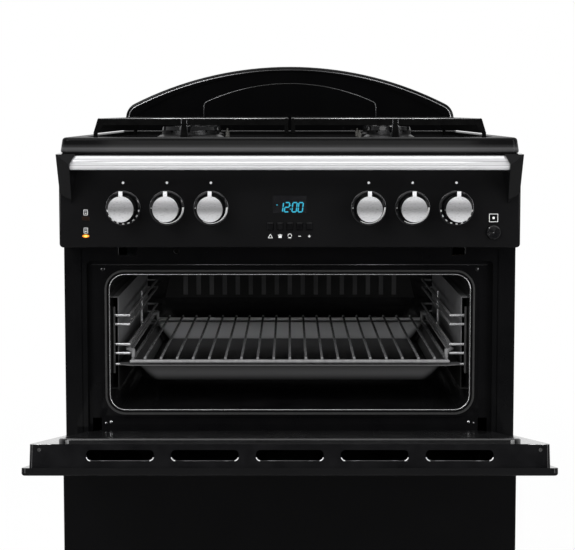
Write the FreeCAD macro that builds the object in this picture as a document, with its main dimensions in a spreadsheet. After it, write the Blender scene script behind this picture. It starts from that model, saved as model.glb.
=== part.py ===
# Range cooker with double oven, 60 cm wide.
# Frame: +X to the right, +Y to the back, +Z up, Z = 0 on the floor.
# front_y is the depth position of the flat front frame behind the doors.
import FreeCAD, Part
import math
import os
import Sketcher

V = FreeCAD.Vector
doc = FreeCAD.newDocument("range_cooker")

# ---------------------------------------------------------------- sizes
SIZES = [
    ("front_y", -138.9, "depth position of the front frame"),
    ("body_width", 598.0, "width over the side panels"),
    ("body_depth", 560.0, "front frame to the back of the rear panel"),
    ("hob_height", 900.0, "floor to the top of the hob"),
    ("slack", 0.3, "clearance between pieces that lie side by side"),
    ("panel_skin", 1.2, "side panel sheet"),
    ("side_fold", 12.0, "side panel returns"),
    ("inner_skin", 1.5, "cavity and frame sheet"),
    ("foot_height", 30.0, "floor to the underside of the base"),
    ("foot_radius", 17.0, "levelling foot pad"),
    ("foot_inset", 50.0, "foot axis from the body's sides and back"),
    ("foot_front", 70.0, "front foot axes behind the front frame"),
    ("stud_radius", 5.0, "levelling foot stud"),
    ("plinth_height", 66.0, "plinth, from the base up"),
    ("sill", "=foot_height + plinth_height", "top of the plinth"),
    ("hob_edge", 20.0, "hob rolled edge"),
    ("panel_high", "=hob_height - hob_edge", "control panel upper edge"),
    ("panel_tall", 121.7, "control panel height"),
    ("panel_low", "=panel_high - panel_tall", "control panel lower edge"),
    ("frame_top", "=panel_low - slack", "top of the front frame"),
    ("plate_recess", 8.0, "recessed front plate behind the pillars"),
    ("pillar", 30.0, "front frame pillar"),
    ("plate_half", "=body_width / 2 - pillar", "half width of the recessed plate"),
    ("top_rail", 22.0, "front frame above the recess"),
    ("opening_side", 29.0, "recess edge to the openings"),
    ("opening_half", "=plate_half - opening_side", "half width of both oven openings"),
    ("top_band", 41.0, "frame top to the upper opening"),
    ("upper_roof", "=frame_top - top_band", "upper opening, upper edge"),
    ("upper_tall", 182.0, "upper opening height"),
    ("upper_floor", "=upper_roof - upper_tall", "upper opening, lower edge"),
    ("middle_band", 89.0, "plate between the openings"),
    ("lower_roof", "=upper_floor - middle_band", "lower opening, upper edge"),
    ("bottom_band", 32.0, "plinth to the lower opening"),
    ("lower_floor", "=sill + bottom_band", "lower opening, lower edge"),
    ("opening_corner", 20.0, "corner radius of the openings"),
    ("cavity_depth", 422.0, "oven cavity, front plate to back wall"),
    ("bead_wide", 10.0, "pressed bead round each opening"),
    ("bead_high", 1.6, "pressed bead over the plate"),
    ("door_width", "=body_width - 4", "door outer panel"),
    ("door_face", 36.0, "door face in front of the front frame"),
    ("door_panel", 8.5, "door outer panel thickness"),
    ("door_border", 12.0, "folded border of the outer panel"),
    ("door_gap", 1.5, "door frame to front frame"),
    ("door_frame_width", "=door_width - 17", "door frame"),
    ("door_skin", 1.5, "door sheet"),
    ("liner_half", "=plate_half - 7", "door liner half width"),
    ("liner_step", 5.0, "door liner into the recess"),
    ("liner_low", 16.0, "door's lower edge to its liner"),
    ("liner_high", 22.0, "liner to the door's upper edge"),
    ("upper_door_high", "=frame_top - 5", "upper edge of the closed upper door"),
    ("upper_door_tall", 277.4, "upper door height"),
    ("upper_door_low", "=upper_door_high - upper_door_tall", "its lower edge"),
    ("door_space", 4.6, "between the two closed doors"),
    ("lower_door_high", "=upper_door_low - door_space", "upper edge of the lower door"),
    ("lower_door_low", "=sill + 6", "lower edge of the lower door"),
    ("window_half", 198.0, "door window half width"),
    ("window_lip", 12.0, "liner's lip round the window"),
    ("glass_thick", 4.2, "inner door glass"),
    ("hinge_forward", 30.0, "door hinge axis in front of the front frame"),
    ("hinge_above", 6.0, "door hinge axis above the door's lower edge"),
    ("hinge_x", "=opening_half + 18", "door hinge arm from the middle"),
    ("pin_radius", 3.0, "door hinge pin"),
    ("pin_clear", 0.05, "running clearance of the hinge pin"),
    ("arm_wide", 5.0, "hinge arm"),
    ("open_angle", 78.0, "upper door opening angle"),
    ("panel_forward", 45.0, "control panel face in front of the frame"),
    ("panel_half", "=body_width / 2 - 2.4", "control panel half width"),
    ("panel_sheet", 2.0, "control panel thickness"),
    ("knob_z", "=panel_low + 51.4", "height of the knob axes"),
    ("knob_first", 101.2, "innermost knob from the middle"),
    ("knob_pitch", 56.3, "knob spacing"),
    ("knob_radius", 17.0, "knob body"),
    ("knob_reach", 27.0, "knob disc in front of the panel"),
    ("disc_radius", 16.0, "metal disc on the knob"),
    ("disc_thick", 0.8, "metal disc"),
    ("tab_wide", 5.0, "pointer tab"),
    ("knob_push", 4.0, "knob push travel"),
    ("bezel_outer", 22.7, "knob bezel ring"),
    ("bezel_high", 3.5, "knob bezel ring thickness"),
    ("spindle_radius", 4.0, "tap spindle bore"),
    ("spindle_clear", 0.05, "running clearance of spindle and plug"),
    ("plug_radius", 7.0, "tap plug bore"),
    ("tap_half", 12.0, "tap body half width"),
    ("tap_foot", 20.0, "tap axis to the foot of its body"),
    ("pipe_radius", 8.0, "gas manifold and supply pipe"),
    ("elbow", 20.0, "pipe elbow blocks"),
    ("inlet_radius", 10.5, "gas inlet"),
    ("inlet_long", 14.0, "gas inlet behind the rear panel"),
    ("inlet_side", 69.0, "gas inlet from the side panel"),
    ("inlet_z", 640.0, "height of the gas inlet"),
    ("cable_side", 84.0, "cable gland from the side panel"),
    ("cable_z", 590.0, "height of the terminal cover's middle"),
    ("rail_z", "=panel_high - 11", "towel rail axis height"),
    ("rail_forward", 82.0, "towel rail axis in front of the frame"),
    ("rail_radius", 9.0, "towel rail"),
    ("rail_half", "=panel_half - 20.6", "towel rail half length"),
    ("button_pitch", 12.5, "timer buttons"),
    ("button_z", "=panel_low + 27.7", "timer button height"),
    ("window_z", "=panel_low + 56.1", "clock window height"),
    ("window_x", 21.7, "clock window opening half width"),
    ("window_tall", 11.2, "clock window opening half height"),
    ("light_x", "=panel_half - 34.8", "round button from the middle"),
    ("light_z", "=panel_low + 20.1", "round button height"),
    ("light_radius", 8.9, "round button"),
    ("lamp_x", "=panel_half - 34.4", "indicator lamps from the middle"),
    ("lamp_low_z", "=panel_low + 14.9", "lower indicator lamp"),
    ("lamp_high_z", "=panel_low + 37.7", "upper indicator lamp"),
    ("hob_half", "=body_width / 2 - 4.2", "hob half width"),
    ("hob_forward", 50.0, "hob front edge in front of the frame"),
    ("hob_back", 5.0, "hob behind the rear panel"),
    ("hob_slope", 9.0, "slope of the hob's edge in degrees"),
    ("hob_sheet", 2.0, "hob thickness"),
    ("well_side", 26.0, "hob edge to the spill well at the sides"),
    ("well_deep", 6.0, "hob spill well"),
    ("splash_y", "=body_depth - 24", "splashback face behind the frame"),
    ("splash_half", "=hob_half - 6.3", "splashback half width"),
    ("splash_top", "=hob_height + 110.7", "top of the splashback's arch"),
    ("splash_corner_x", "=splash_half - 7.5", "splashback corner from the middle"),
    ("splash_corner", "=hob_height + 40.8", "height of the splashback's corners"),
    ("splash_thick", 14.0, "splashback thickness"),
    ("splash_sheet", 2.5, "splashback wall"),
    ("arch_half", 150.0, "embossed arch half width"),
    ("burner_x", "=hob_half - 154.8", "burner axes from the middle"),
    ("burner_front", 130.0, "front burners behind the frame"),
    ("burner_rear", 350.0, "rear burners behind the frame"),
    ("grid_top", "=hob_height + 24.2", "top of the pan supports"),
    ("grid_low", "=hob_height + 4.5", "lower edge of the pan supports' sides"),
    ("grid_half", "=hob_half - 40.3", "outer top edge of the pan supports"),
    ("grid_flare", 5.8, "outward slope of the pan supports' sides"),
    ("grid_inner", 2.0, "pan supports from the middle"),
    ("grid_bar", 7.0, "pan support bar width"),
    ("grid_deep", 9.0, "pan support bar height"),
    ("grid_plate", 5.0, "pan support side plates"),
    ("grid_front", 14.0, "pan supports behind the frame"),
    ("grid_back", 462.0, "pan supports' rear end behind the frame"),
    ("finger_gap", 24.0, "pan support fingers from the burner axes"),
    ("rack_wire", 2.0, "side rack wire radius"),
    ("rack_front", 30.0, "side racks behind the frame"),
    ("rack_back", 395.0, "side racks' rear end behind the frame"),
    ("rack_gap", 0.3, "shelf or tray over its rung"),
    ("rung_in", 22.5, "rungs from the oven wall"),
    ("rail_in", 20.5, "shelf rails from the oven wall"),
    ("liner_in", 8.0, "side liners from the oven wall"),
    ("shelf_rung", "=upper_floor + 72", "rung that carries the shelf"),
    ("tray_rung", "=upper_floor + 57", "rung that carries the tray"),
    ("low_rung", "=lower_floor + 107", "rung that carries the lower shelf"),
    ("shelf_in", 29.0, "shelf frame from the oven wall"),
    ("shelf_wire", 1.8, "shelf wire radius"),
    ("shelf_frame", 2.6, "shelf frame wire radius"),
    ("shelf_drop", 11.9, "shelf frame under its side rails"),
    ("shelf_front", 8.5, "shelf front behind the frame"),
    ("shelf_back", 360.0, "shelf rear end behind the frame"),
    ("tray_in", 10.0, "tray rim from the oven wall"),
    ("tray_deep", 22.0, "tray depth"),
    ("tray_sheet", 1.2, "tray sheet"),
    ("baffle_deep", 15.0, "flue baffle"),
]
sheet = doc.addObject("Spreadsheet::Sheet", "Sizes")
for row, (alias, number, note) in enumerate(SIZES, 1):
    sheet.set("A%d" % row, note)
    sheet.set("B%d" % row, str(number))
    sheet.setAlias("B%d" % row, alias)
doc.recompute()


class Size:
    """A length that keeps both its number and its formula of sheet cells."""

    def __init__(self, number, text):
        self.number = float(number)
        self.text = text

    def mixed(self, other, sign, swap=False):
        if not isinstance(other, Size):
            other = Size(other, "(%.6g)" % other)
        a, b = (other, self) if swap else (self, other)
        if sign == "+":
            number = a.number + b.number
        elif sign == "-":
            number = a.number - b.number
        elif sign == "*":
            number = a.number * b.number
        else:
            number = a.number / b.number
        return Size(number, "(%s %s %s)" % (a.text, sign, b.text))

    def __add__(self, other):
        return self.mixed(other, "+")

    def __radd__(self, other):
        return self.mixed(other, "+", True)

    def __sub__(self, other):
        return self.mixed(other, "-")

    def __rsub__(self, other):
        return self.mixed(other, "-", True)

    def __mul__(self, other):
        return self.mixed(other, "*")

    def __rmul__(self, other):
        return self.mixed(other, "*", True)

    def __truediv__(self, other):
        return self.mixed(other, "/")

    def __neg__(self):
        return self.mixed(-1, "*")

    def __float__(self):
        return self.number


class Sizes:
    def __getattr__(self, alias):
        return Size(getattr(sheet, alias), "Sizes." + alias)


s = Sizes()


def sized(value):
    return value if isinstance(value, Size) else Size(value, "%.6g" % value)


# ---------------------------------------------------------------- helpers
def new_body(name):
    return doc.addObject("PartDesign::Body", name)


def sketch_on(body, role, name, lift):
    """A sketch on one of the body's own planes, lifted along its normal."""
    plane = [f for f in body.Origin.OriginFeatures if f.Role == role][0]
    sketch = body.newObject("Sketcher::SketchObject", name)
    sketch.AttachmentSupport = [(plane, "")]
    sketch.MapMode = "FlatFace"
    sketch.setExpression("AttachmentOffset.Base.z", sized(lift).text)
    return sketch


def fix_point(sketch, index, point, u, v):
    for kind, value in (("DistanceX", sized(u)), ("DistanceY", sized(v))):
        made = sketch.addConstraint(
            Sketcher.Constraint(kind, -1, 1, index, point, value.number))
        sketch.setExpression("Constraints[%d]" % made, value.text)


def draw_outline(sketch, corners):
    """A closed run of lines; a corner (u, v, r) is rounded by a tangent arc."""
    count = len(corners)
    runs = []
    for i, corner in enumerate(corners):
        u, v = sized(corner[0]), sized(corner[1])
        if len(corner) == 2:
            runs.append([(u, v)])
            continue
        r = sized(corner[2])
        ends = []
        for other in (corners[i - 1], corners[(i + 1) % count]):
            du = float(sized(other[0])) - u.number
            dv = float(sized(other[1])) - v.number
            far = math.hypot(du, dv)
            ends.append((u + r * (du / far), v + r * (dv / far)))
        middle = V(u.number, v.number, 0)
        a = V(ends[0][0].number, ends[0][1].number, 0)
        b = V(ends[1][0].number, ends[1][1].number, 0)
        half = (a - middle).getAngle(b - middle) / 2
        inward = ((a - middle).normalize() + (b - middle).normalize()).normalize()
        reach = r.number * (1 / math.cos(half) - math.tan(half))
        runs.append([ends[0], ends[1], middle + inward * reach])
    places = []
    for run in runs:
        if len(run) == 3:
            a = V(run[0][0].number, run[0][1].number, 0)
            b = V(run[1][0].number, run[1][1].number, 0)
            index = sketch.addGeometry(Part.Arc(a, run[2], b))
            start = sketch.getPoint(index, 1)
            near = (start - a).Length < (start - b).Length
            one, two = (1, 2) if near else (2, 1)
            fix_point(sketch, index, one, run[0][0], run[0][1])
            fix_point(sketch, index, two, run[1][0], run[1][1])
            places.append(((index, one), (index, two)))
        else:
            places.append(None)
    for i in range(count):
        here, there = runs[i], runs[(i + 1) % count]
        a = here[1] if len(here) == 3 else here[0]
        b = there[0]
        line = sketch.addGeometry(Part.LineSegment(
            V(a[0].number, a[1].number, 0), V(b[0].number, b[1].number, 0)))
        if len(here) == 3:
            arc = places[i][1]
            sketch.addConstraint(Sketcher.Constraint("Tangent", arc[0], arc[1], line, 1))
        else:
            fix_point(sketch, line, 1, a[0], a[1])
        if len(there) == 3:
            arc = places[(i + 1) % count][0]
            sketch.addConstraint(Sketcher.Constraint("Coincident", arc[0], arc[1], line, 2))
        else:
            fix_point(sketch, line, 2, b[0], b[1])


def draw_circle(sketch, u, v, radius):
    circle = sketch.addGeometry(
        Part.Circle(V(float(u), float(v), 0), V(0, 0, 1), float(radius)))
    fix_point(sketch, circle, 3, u, v)
    made = sketch.addConstraint(Sketcher.Constraint("Radius", circle, float(radius)))
    sketch.setExpression("Constraints[%d]" % made, sized(radius).text)


def box_corners(left, low, right, high, radius=None):
    corners = [(left, low), (right, low), (right, high), (left, high)]
    return corners if radius is None else [corner + (radius,) for corner in corners]


def grow(body, kind, name, sketch, length, reverse=False):
    feature = body.newObject("PartDesign::" + kind, name)
    feature.Profile = sketch
    feature.setExpression("Length", sized(length).text)
    feature.Reversed = reverse
    return feature


def drawn(body, role, name, outlines, lift, holes):
    sketch = sketch_on(body, role, name + "_sketch", lift)
    for corners in outlines:
        draw_outline(sketch, corners)
    for hole in holes:
        draw_circle(sketch, *hole)
    return sketch


def pad_y(body, name, outlines, start, thick, holes=()):
    """Pad outlines drawn in X and Z from depth start towards the back."""
    return grow(body, "Pad", name, drawn(body, "XZ_Plane", name, outlines, -sized(start), holes),
                thick, True)


def cut_y(body, name, outlines, start, deep, holes=()):
    """Pocket outlines drawn in X and Z from depth start towards the back."""
    return grow(body, "Pocket", name,
                drawn(body, "XZ_Plane", name, outlines, -sized(start), holes), deep)


def pad_x(body, name, corners, start, wide):
    """Pad an outline drawn in Y and Z from start towards +X."""
    return grow(body, "Pad", name, drawn(body, "YZ_Plane", name, [corners], start, ()), wide)


def cut_x(body, name, corners, start, wide):
    """Pocket an outline drawn in Y and Z from start towards +X."""
    return grow(body, "Pocket", name, drawn(body, "YZ_Plane", name, [corners], start, ()),
                wide, True)


def pad_z(body, name, outlines, start, high, holes=()):
    """Pad outlines drawn in X and Y from height start upwards."""
    return grow(body, "Pad", name, drawn(body, "XY_Plane", name, outlines, start, holes), high)


def cut_z(body, name, outlines, start, deep, holes=()):
    """Pocket outlines drawn in X and Y from height start downwards."""
    return grow(body, "Pocket", name, drawn(body, "XY_Plane", name, outlines, start, holes), deep)


def round_edges(body, name, base, chosen, radius, kind="Fillet"):
    """Fillet or chamfer the edges of base that chosen() accepts."""
    doc.recompute()
    names = ["Edge%d" % i for i, e in enumerate(base.Shape.Edges, 1) if chosen(e)]
    feature = body.newObject("PartDesign::" + kind, name)
    feature.Base = (base, names)
    feature.setExpression("Radius" if kind == "Fillet" else "Size", sized(radius).text)
    return feature


def plain(name, *shapes):
    """A sub-part whose shapes are computed from the sheet's sizes."""
    feature = doc.addObject("Part::Feature", name)
    feature.Shape = shapes[0] if len(shapes) == 1 else Part.makeCompound(shapes)
    return feature


def rod(a, b, radius):
    return Part.makeCylinder(float(radius), (b - a).Length, a, b - a)


def block(x, y, z):
    """A box from its three (low, high) spans."""
    low = V(*[float(span[0]) for span in (x, y, z)])
    size = [float(span[1]) - float(span[0]) for span in (x, y, z)]
    return Part.makeBox(size[0], size[1], size[2], low)


def turned(profile, base, along):
    """Revolves (radius, height) points round the axis along from base."""
    side = V(0, 0, 1) if abs(along.z) < 0.5 else V(1, 0, 0)
    points = [base + side * u + along * w for u, w in profile]
    return Part.Face(Part.makePolygon(points + points[:1])).revolve(base, along, 360)


def solid_of(points, faces):
    """A solid from corner points and faces given as runs of their numbers."""
    made = []
    for run in faces:
        ring = [points[i] for i in run]
        made.append(Part.Face(Part.makePolygon(ring + ring[:1])))
    solid = Part.makeSolid(Part.makeShell(made))
    if solid.Volume < 0:
        solid.reverse()
    return solid


def mitred(points, radius, closed=False):
    """A round wire along straight runs, mitred at its corners."""
    ring = points + points[:1] if closed else points
    start, along = points[0], points[1] - points[0]
    circle = Part.Wire(Part.Circle(start, along, float(radius)).toShape())
    return Part.makePolygon(ring).makePipeShell([circle], True, False, 1)


def mirrored(shape):
    return shape.mirror(V(0, 0, 0), V(1, 0, 0))


F = s.front_y
HALF = s.body_width / 2
PLATE = F + s.plate_recess
BACK = F + s.body_depth
UNDER_HOB = s.panel_high
FACE = F - s.panel_forward
WELL = s.hob_height - s.well_deep
LEFT_RIGHT = (-1, 1)


# ---------------------------------------------------------------- carcass
def side_panel(name, side):
    """Folded side sheet: a flat wall with returns at the front and back."""
    body = new_body(name)
    outer, inner = HALF * side, (HALF - s.panel_skin) * side
    fold = (HALF - s.side_fold) * side
    front, back = PLATE + s.inner_skin, BACK - s.panel_skin
    sketch = sketch_on(body, "XY_Plane", name + "_sketch", s.foot_height)
    draw_outline(sketch, [
        (outer, front), (outer, back), (fold, back), (fold, back - s.panel_skin),
        (inner, back - s.panel_skin), (inner, front + s.panel_skin),
        (fold, front + s.panel_skin), (fold, front)])
    grow(body, "Pad", name + "_wall", sketch, UNDER_HOB - s.foot_height)
    return body


def rear_panel():
    """Back sheet with louvres for the flue air and holes for gas and cable."""
    body = new_body("rear_panel")
    wide = HALF - s.panel_skin - s.slack
    pad_y(body, "rear_sheet", [box_corners(-wide, s.foot_height, wide, UNDER_HOB - 1)],
          BACK - s.panel_skin, s.panel_skin,
          [(HALF - s.inlet_side, s.inlet_z, s.inlet_radius + s.slack),
           (s.cable_side - HALF, s.cable_z, 7)])
    sketch = sketch_on(body, "XZ_Plane", "louvre_sketch", -BACK)
    left, low = -s.opening_half + 40, s.upper_roof - 17
    draw_outline(sketch, box_corners(left, low, left + 70, low + 6))
    slot = grow(body, "Pocket", "louvre", sketch, s.panel_skin * 2, False)
    slot.Midplane = True
    pattern = body.newObject("PartDesign::MultiTransform", "louvres")
    pattern.Originals = [slot]
    columns = body.newObject("PartDesign::LinearPattern", "louvre_columns")
    columns.Direction = (sketch, ["H_Axis"])
    columns.setExpression("Length", (-left * 2 - 70).text)
    columns.Occurrences = 4
    rows = body.newObject("PartDesign::LinearPattern", "louvre_rows")
    rows.Direction = (sketch, ["V_Axis"])
    rows.setExpression("Length", sized(80).text)
    rows.Occurrences = 5
    pattern.Transformations = [columns, rows]
    body.Tip = pattern
    return body


def foot_places():
    return [(x, y) for x in (s.foot_inset - HALF, HALF - s.foot_inset)
            for y in (F + s.foot_front, BACK - s.foot_inset)]


def base_pan():
    """Folded floor pan between the side panels with four foot bosses."""
    body = new_body("base_pan")
    tall = sized(24)
    wide = HALF - s.panel_skin - s.slack
    front = PLATE + s.inner_skin + s.panel_skin + s.slack
    back = BACK - s.panel_skin * 2 - s.slack
    pad_z(body, "pan", [box_corners(-wide, front, wide, back)], s.foot_height, tall)
    cut_z(body, "pan_hollow", [box_corners(-wide + s.inner_skin, front + s.inner_skin,
                                           wide - s.inner_skin, back - s.inner_skin)],
          s.foot_height + tall, tall - s.inner_skin)
    pad_z(body, "foot_bosses", [], s.foot_height + 1, 14,
          [(x, y, s.stud_radius + 6) for x, y in foot_places()])
    cut_z(body, "foot_holes", [], s.foot_height + 15, 20,
          [(x, y, s.stud_radius + 0.05) for x, y in foot_places()])
    return body


def levelling_feet():
    """Four screwed feet: a pad, a collar and a stud."""
    r, top, stud = float(s.foot_radius), float(s.foot_height), float(s.stud_radius)
    profile = [(0, 0), (r, 0), (r, 5), (stud + 3, 12), (stud + 3, top), (stud, top),
               (stud, top + 18), (0, top + 18)]
    return plain("levelling_feet", *[
        turned(profile, V(float(x), float(y), 0), V(0, 0, 1)) for x, y in foot_places()])


def plinth():
    """Front plinth with a folded top and bottom."""
    body = new_body("plinth")
    wide, skin = HALF - 2, s.inner_skin
    face = F + 2
    rear = PLATE + s.inner_skin - s.slack
    low, high = s.foot_height + 2, s.sill
    sketch = sketch_on(body, "YZ_Plane", "plinth_sketch", -wide)
    draw_outline(sketch, [(face, low), (rear, low), (rear, low + skin), (face + skin, low + skin),
                          (face + skin, high - skin), (rear, high - skin), (rear, high),
                          (face, high)])
    grow(body, "Pad", "plinth_fold", sketch, wide * 2)
    return body


def oven_front_frame():
    """Pressed front plate: hollow pillars, a recess and two beaded openings."""
    body = new_body("oven_front_frame")
    wide = HALF - 0.5
    inner, bead, skin = s.opening_half, s.bead_wide, s.inner_skin
    low, high = s.sill + 0.5, s.frame_top
    recess = (s.sill + 12, s.frame_top - s.top_rail)
    pad_y(body, "front_block", [box_corners(-wide, low, wide, high)], F, s.plate_recess + skin)
    cut_y(body, "recess", [box_corners(-s.plate_half, recess[0], s.plate_half, recess[1], 6)], F,
          s.plate_recess)
    cut_y(body, "pillar_hollow", [
        box_corners(-wide + skin, low + skin, wide - skin, high - skin),
        box_corners(-s.plate_half - skin, recess[0] - skin, s.plate_half + skin,
                    recess[1] + skin)], F + skin * 2, s.plate_recess + skin)
    openings = ((s.upper_floor, s.upper_roof), (s.lower_floor, s.lower_roof))
    pad_y(body, "beads", [
        box_corners(-inner - bead, a - bead, inner + bead, b + bead, s.opening_corner + bead)
        for a, b in openings], PLATE - s.bead_high, s.bead_high + 1)
    cut_y(body, "openings", [box_corners(-inner, a, inner, b, s.opening_corner)
                             for a, b in openings], PLATE - 4, 12)
    cut_y(body, "pillar_grooves", [
        box_corners(s.plate_half * side + 6.6 * side - 0.8, s.sill + 20,
                    s.plate_half * side + 6.6 * side + 0.8, high - 4) for side in LEFT_RIGHT],
        F, 1.2)
    slots = [box_corners(x - 6, a - 4, x + 6, a + 48)
             for a in (s.upper_door_low, s.lower_door_low) for x in hinge_places()]
    cut_y(body, "hinge_slots", slots, F - 1, 20)
    latch = high - 14
    cut_y(body, "latch_slots", [box_corners(-227, latch, -203, latch + 10),
                                box_corners(215, latch, 232, latch + 10)], F - 1, 20,
          [(-150, high - 9, 4)])
    return body


def cavity(name, low, high):
    """Enamelled oven box: open at the front, with rounded inner corners."""
    body = new_body(name)
    skin = s.inner_skin
    half, r = s.opening_half, s.opening_corner
    start = PLATE + skin
    rim = 12
    pad_y(body, name + "_box", [box_corners(-half - skin, low - skin, half + skin, high + skin,
                                            r + skin)], start, s.cavity_depth)
    cut_y(body, name + "_hollow", [box_corners(-half, low, half, high, r)], start,
          s.cavity_depth - skin)
    pad_y(body, name + "_flange", [
        box_corners(-half - rim, low - rim, half + rim, high + rim, r + rim),
        box_corners(-half - skin / 2, low - skin / 2, half + skin / 2, high + skin / 2,
                    r + skin / 2)], start, skin)
    return body


def door_seals():
    """Two closed heat seals, one on the bead round each oven opening."""
    body = doc.addObject("Part::Compound", "door_seals")
    links = []
    for name, low, high in (("upper_seal", s.upper_floor, s.upper_roof),
                            ("lower_seal", s.lower_floor, s.lower_roof)):
        ring = new_body(name)
        pad_y(ring, name + "_ring", [
            box_corners(-s.opening_half - grow_by, low - grow_by, s.opening_half + grow_by,
                        high + grow_by, s.opening_corner + grow_by) for grow_by in (6.2, 3.6)],
            PLATE - s.bead_high - 2.4, 2.4)
        links.append(ring)
    body.Links = links
    return body


# ---------------------------------------------------------------- top
def burner_spots():
    front, rear = F + s.burner_front, F + s.burner_rear
    return [(-s.burner_x, front, sized(47)), (s.burner_x, front, sized(36)),
            (-s.burner_x, rear, sized(36)), (s.burner_x, rear, sized(28))]


def hob_top():
    """Pressed hob with a sloped and rolled edge, a spill well and burner holes."""
    body = new_body("hob_top")
    half = s.hob_half
    front, back = F - s.hob_forward, BACK + s.hob_back
    base = pad_z(body, "hob_block", [box_corners(-half, front, half, back, 12)],
                 UNDER_HOB, s.hob_edge)
    base.setExpression("TaperAngle", (-s.hob_slope).text)
    top = round_edges(body, "hob_roll", base,
                      lambda e: e.BoundBox.ZMin > float(s.hob_height) - 0.1, 4.5)
    round_edges(body, "hob_lip", top, lambda e: e.BoundBox.ZMax < float(UNDER_HOB) + 0.1, 3)
    well = (-half + s.well_side, front + 36, half - s.well_side, back - 52)
    cut_z(body, "spill_well", [box_corners(*well, 30)], s.hob_height, s.well_deep)
    cut_z(body, "burner_holes", [], s.hob_height, 40, [(x, y, r * 0.66)
                                                       for x, y, r in burner_spots()])
    cut_z(body, "hob_underside", [box_corners(-half + 8, front + 8, half - 8, back - 8, 10)],
          WELL - s.hob_sheet, 40)
    skin = s.hob_sheet
    cut_z(body, "hob_ring", [
        box_corners(-half + 11, front + 11, half - 11, back - 11, 10),
        box_corners(well[0] - skin, well[1] - skin, well[2] + skin, well[3] + skin, 30 + skin)],
        s.hob_height - skin - 0.5, 10)
    return body


def burner_heads():
    """Aluminium burner bodies with a skirt and a ring of flame ports."""
    heads = []
    for x, y, r in burner_spots():
        x, y, r = float(x), float(y), float(r)
        profile = [(0, -14), (r * 0.62, -14), (r * 0.62, 0), (r, 0), (r, 4), (r * 0.86, 7),
                   (r * 0.86, 13), (r * 0.5, 13), (r * 0.5, 8), (0, 8)]
        head = turned(profile, V(x, y, float(WELL)), V(0, 0, 1))
        cuts = []
        count = 10
        for k in range(count):
            slot = Part.makeBox(r * 0.5, 3, 3, V(r * 0.55, -1.5, float(WELL) + 10.2))
            slot.rotate(V(0, 0, 0), V(0, 0, 1), 360 * (k + 0.5) / count)
            slot.translate(V(x, y, 0))
            cuts.append(slot)
        heads.append(head.cut(Part.makeCompound(cuts)))
    return plain("burner_heads", *heads)


def burner_caps():
    """Enamelled caps that drop into the burner heads."""
    caps = []
    for x, y, r in burner_spots():
        r = float(r)
        profile = [(0, -4), (r * 0.44, -4), (r * 0.44, 0), (r * 0.88, 0), (r * 0.84, 5),
                   (r * 0.3, 6.5), (0, 6.5)]
        caps.append(turned(profile, V(float(x), float(y), float(WELL) + 13), V(0, 0, 1)))
    return plain("burner_caps", *caps)


def spark_electrodes():
    """A ceramic igniter pin beside each burner."""
    pins = []
    for x, y, r in burner_spots():
        side = 1 if float(x) < 0 else -1
        at = V(float(x) + side * (float(r) + 5), float(y), float(WELL))
        pins.append(turned([(0, 0), (3, 0), (3, 9), (1.2, 9), (1.2, 13), (0, 13)], at, V(0, 0, 1)))
    return plain("spark_electrodes", *pins)


def draw_arch(sketch, half, low, corner_x, corner_z, top):
    """A flat foot, leaning sides and one arc over the top."""
    half, low, top = sized(half), sized(low), sized(top)
    corner_x, corner_z = sized(corner_x), sized(corner_z)
    spots = [(-corner_x, corner_z), (-half, low), (half, low), (corner_x, corner_z)]
    lines = []
    for a, b in zip(spots, spots[1:]):
        lines.append(sketch.addGeometry(Part.LineSegment(
            V(float(a[0]), float(a[1]), 0), V(float(b[0]), float(b[1]), 0))))
    for line, (u, v) in zip(lines, spots):
        fix_point(sketch, line, 1, u, v)
    for one, two in zip(lines, lines[1:]):
        sketch.addConstraint(Sketcher.Constraint("Coincident", one, 2, two, 1))
    fix_point(sketch, lines[-1], 2, *spots[-1])
    arc = sketch.addGeometry(Part.Arc(V(float(corner_x), float(corner_z), 0), V(0, float(top), 0),
                                      V(-float(corner_x), float(corner_z), 0)))
    sketch.addConstraint(Sketcher.Constraint("Coincident", arc, 1, lines[-1], 2))
    sketch.addConstraint(Sketcher.Constraint("Coincident", arc, 2, lines[0], 1))
    rise = top - corner_z
    radius = (corner_x * corner_x + rise * rise) / (rise * 2)
    made = sketch.addConstraint(Sketcher.Constraint("Radius", arc, radius.number))
    sketch.setExpression("Constraints[%d]" % made, radius.text)


def splashback():
    """Arched rear upstand with a raised rim and an embossed inner arch."""
    body = new_body("splashback")
    half, face, top = s.splash_half, F + s.splash_y, s.splash_top
    low = s.hob_height + s.slack
    corner = (s.splash_corner_x, s.splash_corner)

    def arch(name, start, *sizes):
        sketch = sketch_on(body, "XZ_Plane", name + "_sketch", -start)
        draw_arch(sketch, *sizes)
        return sketch

    slab = grow(body, "Pad", "arch_slab", arch("slab", face, half, low, *corner, top),
                s.splash_thick, True)
    shoulders = round_edges(body, "arch_shoulders", slab,
                            lambda e: abs(e.CenterOfMass.z - float(corner[1])) < 0.5
                            and e.BoundBox.YLength > 1 and e.BoundBox.XLength < 1, 27)
    round_edges(body, "arch_rim", shoulders, lambda e: e.CenterOfMass.y < float(face) + 0.1
                and e.BoundBox.ZMax > float(low) + 1, 3.5)
    inner = (half - 9, low - 5, corner[0] - 15, corner[1] - 14, top - 8)
    grow(body, "Pocket", "arch_panel", arch("panel", face - 1, *inner), 2.8)
    hollow = (half - 10, low + s.splash_sheet, corner[0] - 17, corner[1] - 15, top - 10)
    grow(body, "Pocket", "arch_hollow", arch("hollow", face + 5, *hollow), 20)
    raised = grow(body, "Pad", "emboss",
                  arch("emboss", face + 0.8, s.arch_half, low, s.arch_half - 1,
                       s.hob_height + 48.4, top - 28.8), 4.2, True)
    round_edges(body, "emboss_bevel", raised,
                lambda e: abs(e.CenterOfMass.y - float(face) - 0.8) < 0.05
                and e.BoundBox.ZMax > float(low) + 1 and abs(e.BoundBox.XMax) < 151
                and abs(e.BoundBox.XMin) < 151, 0.9, "Chamfer")
    return body


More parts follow.
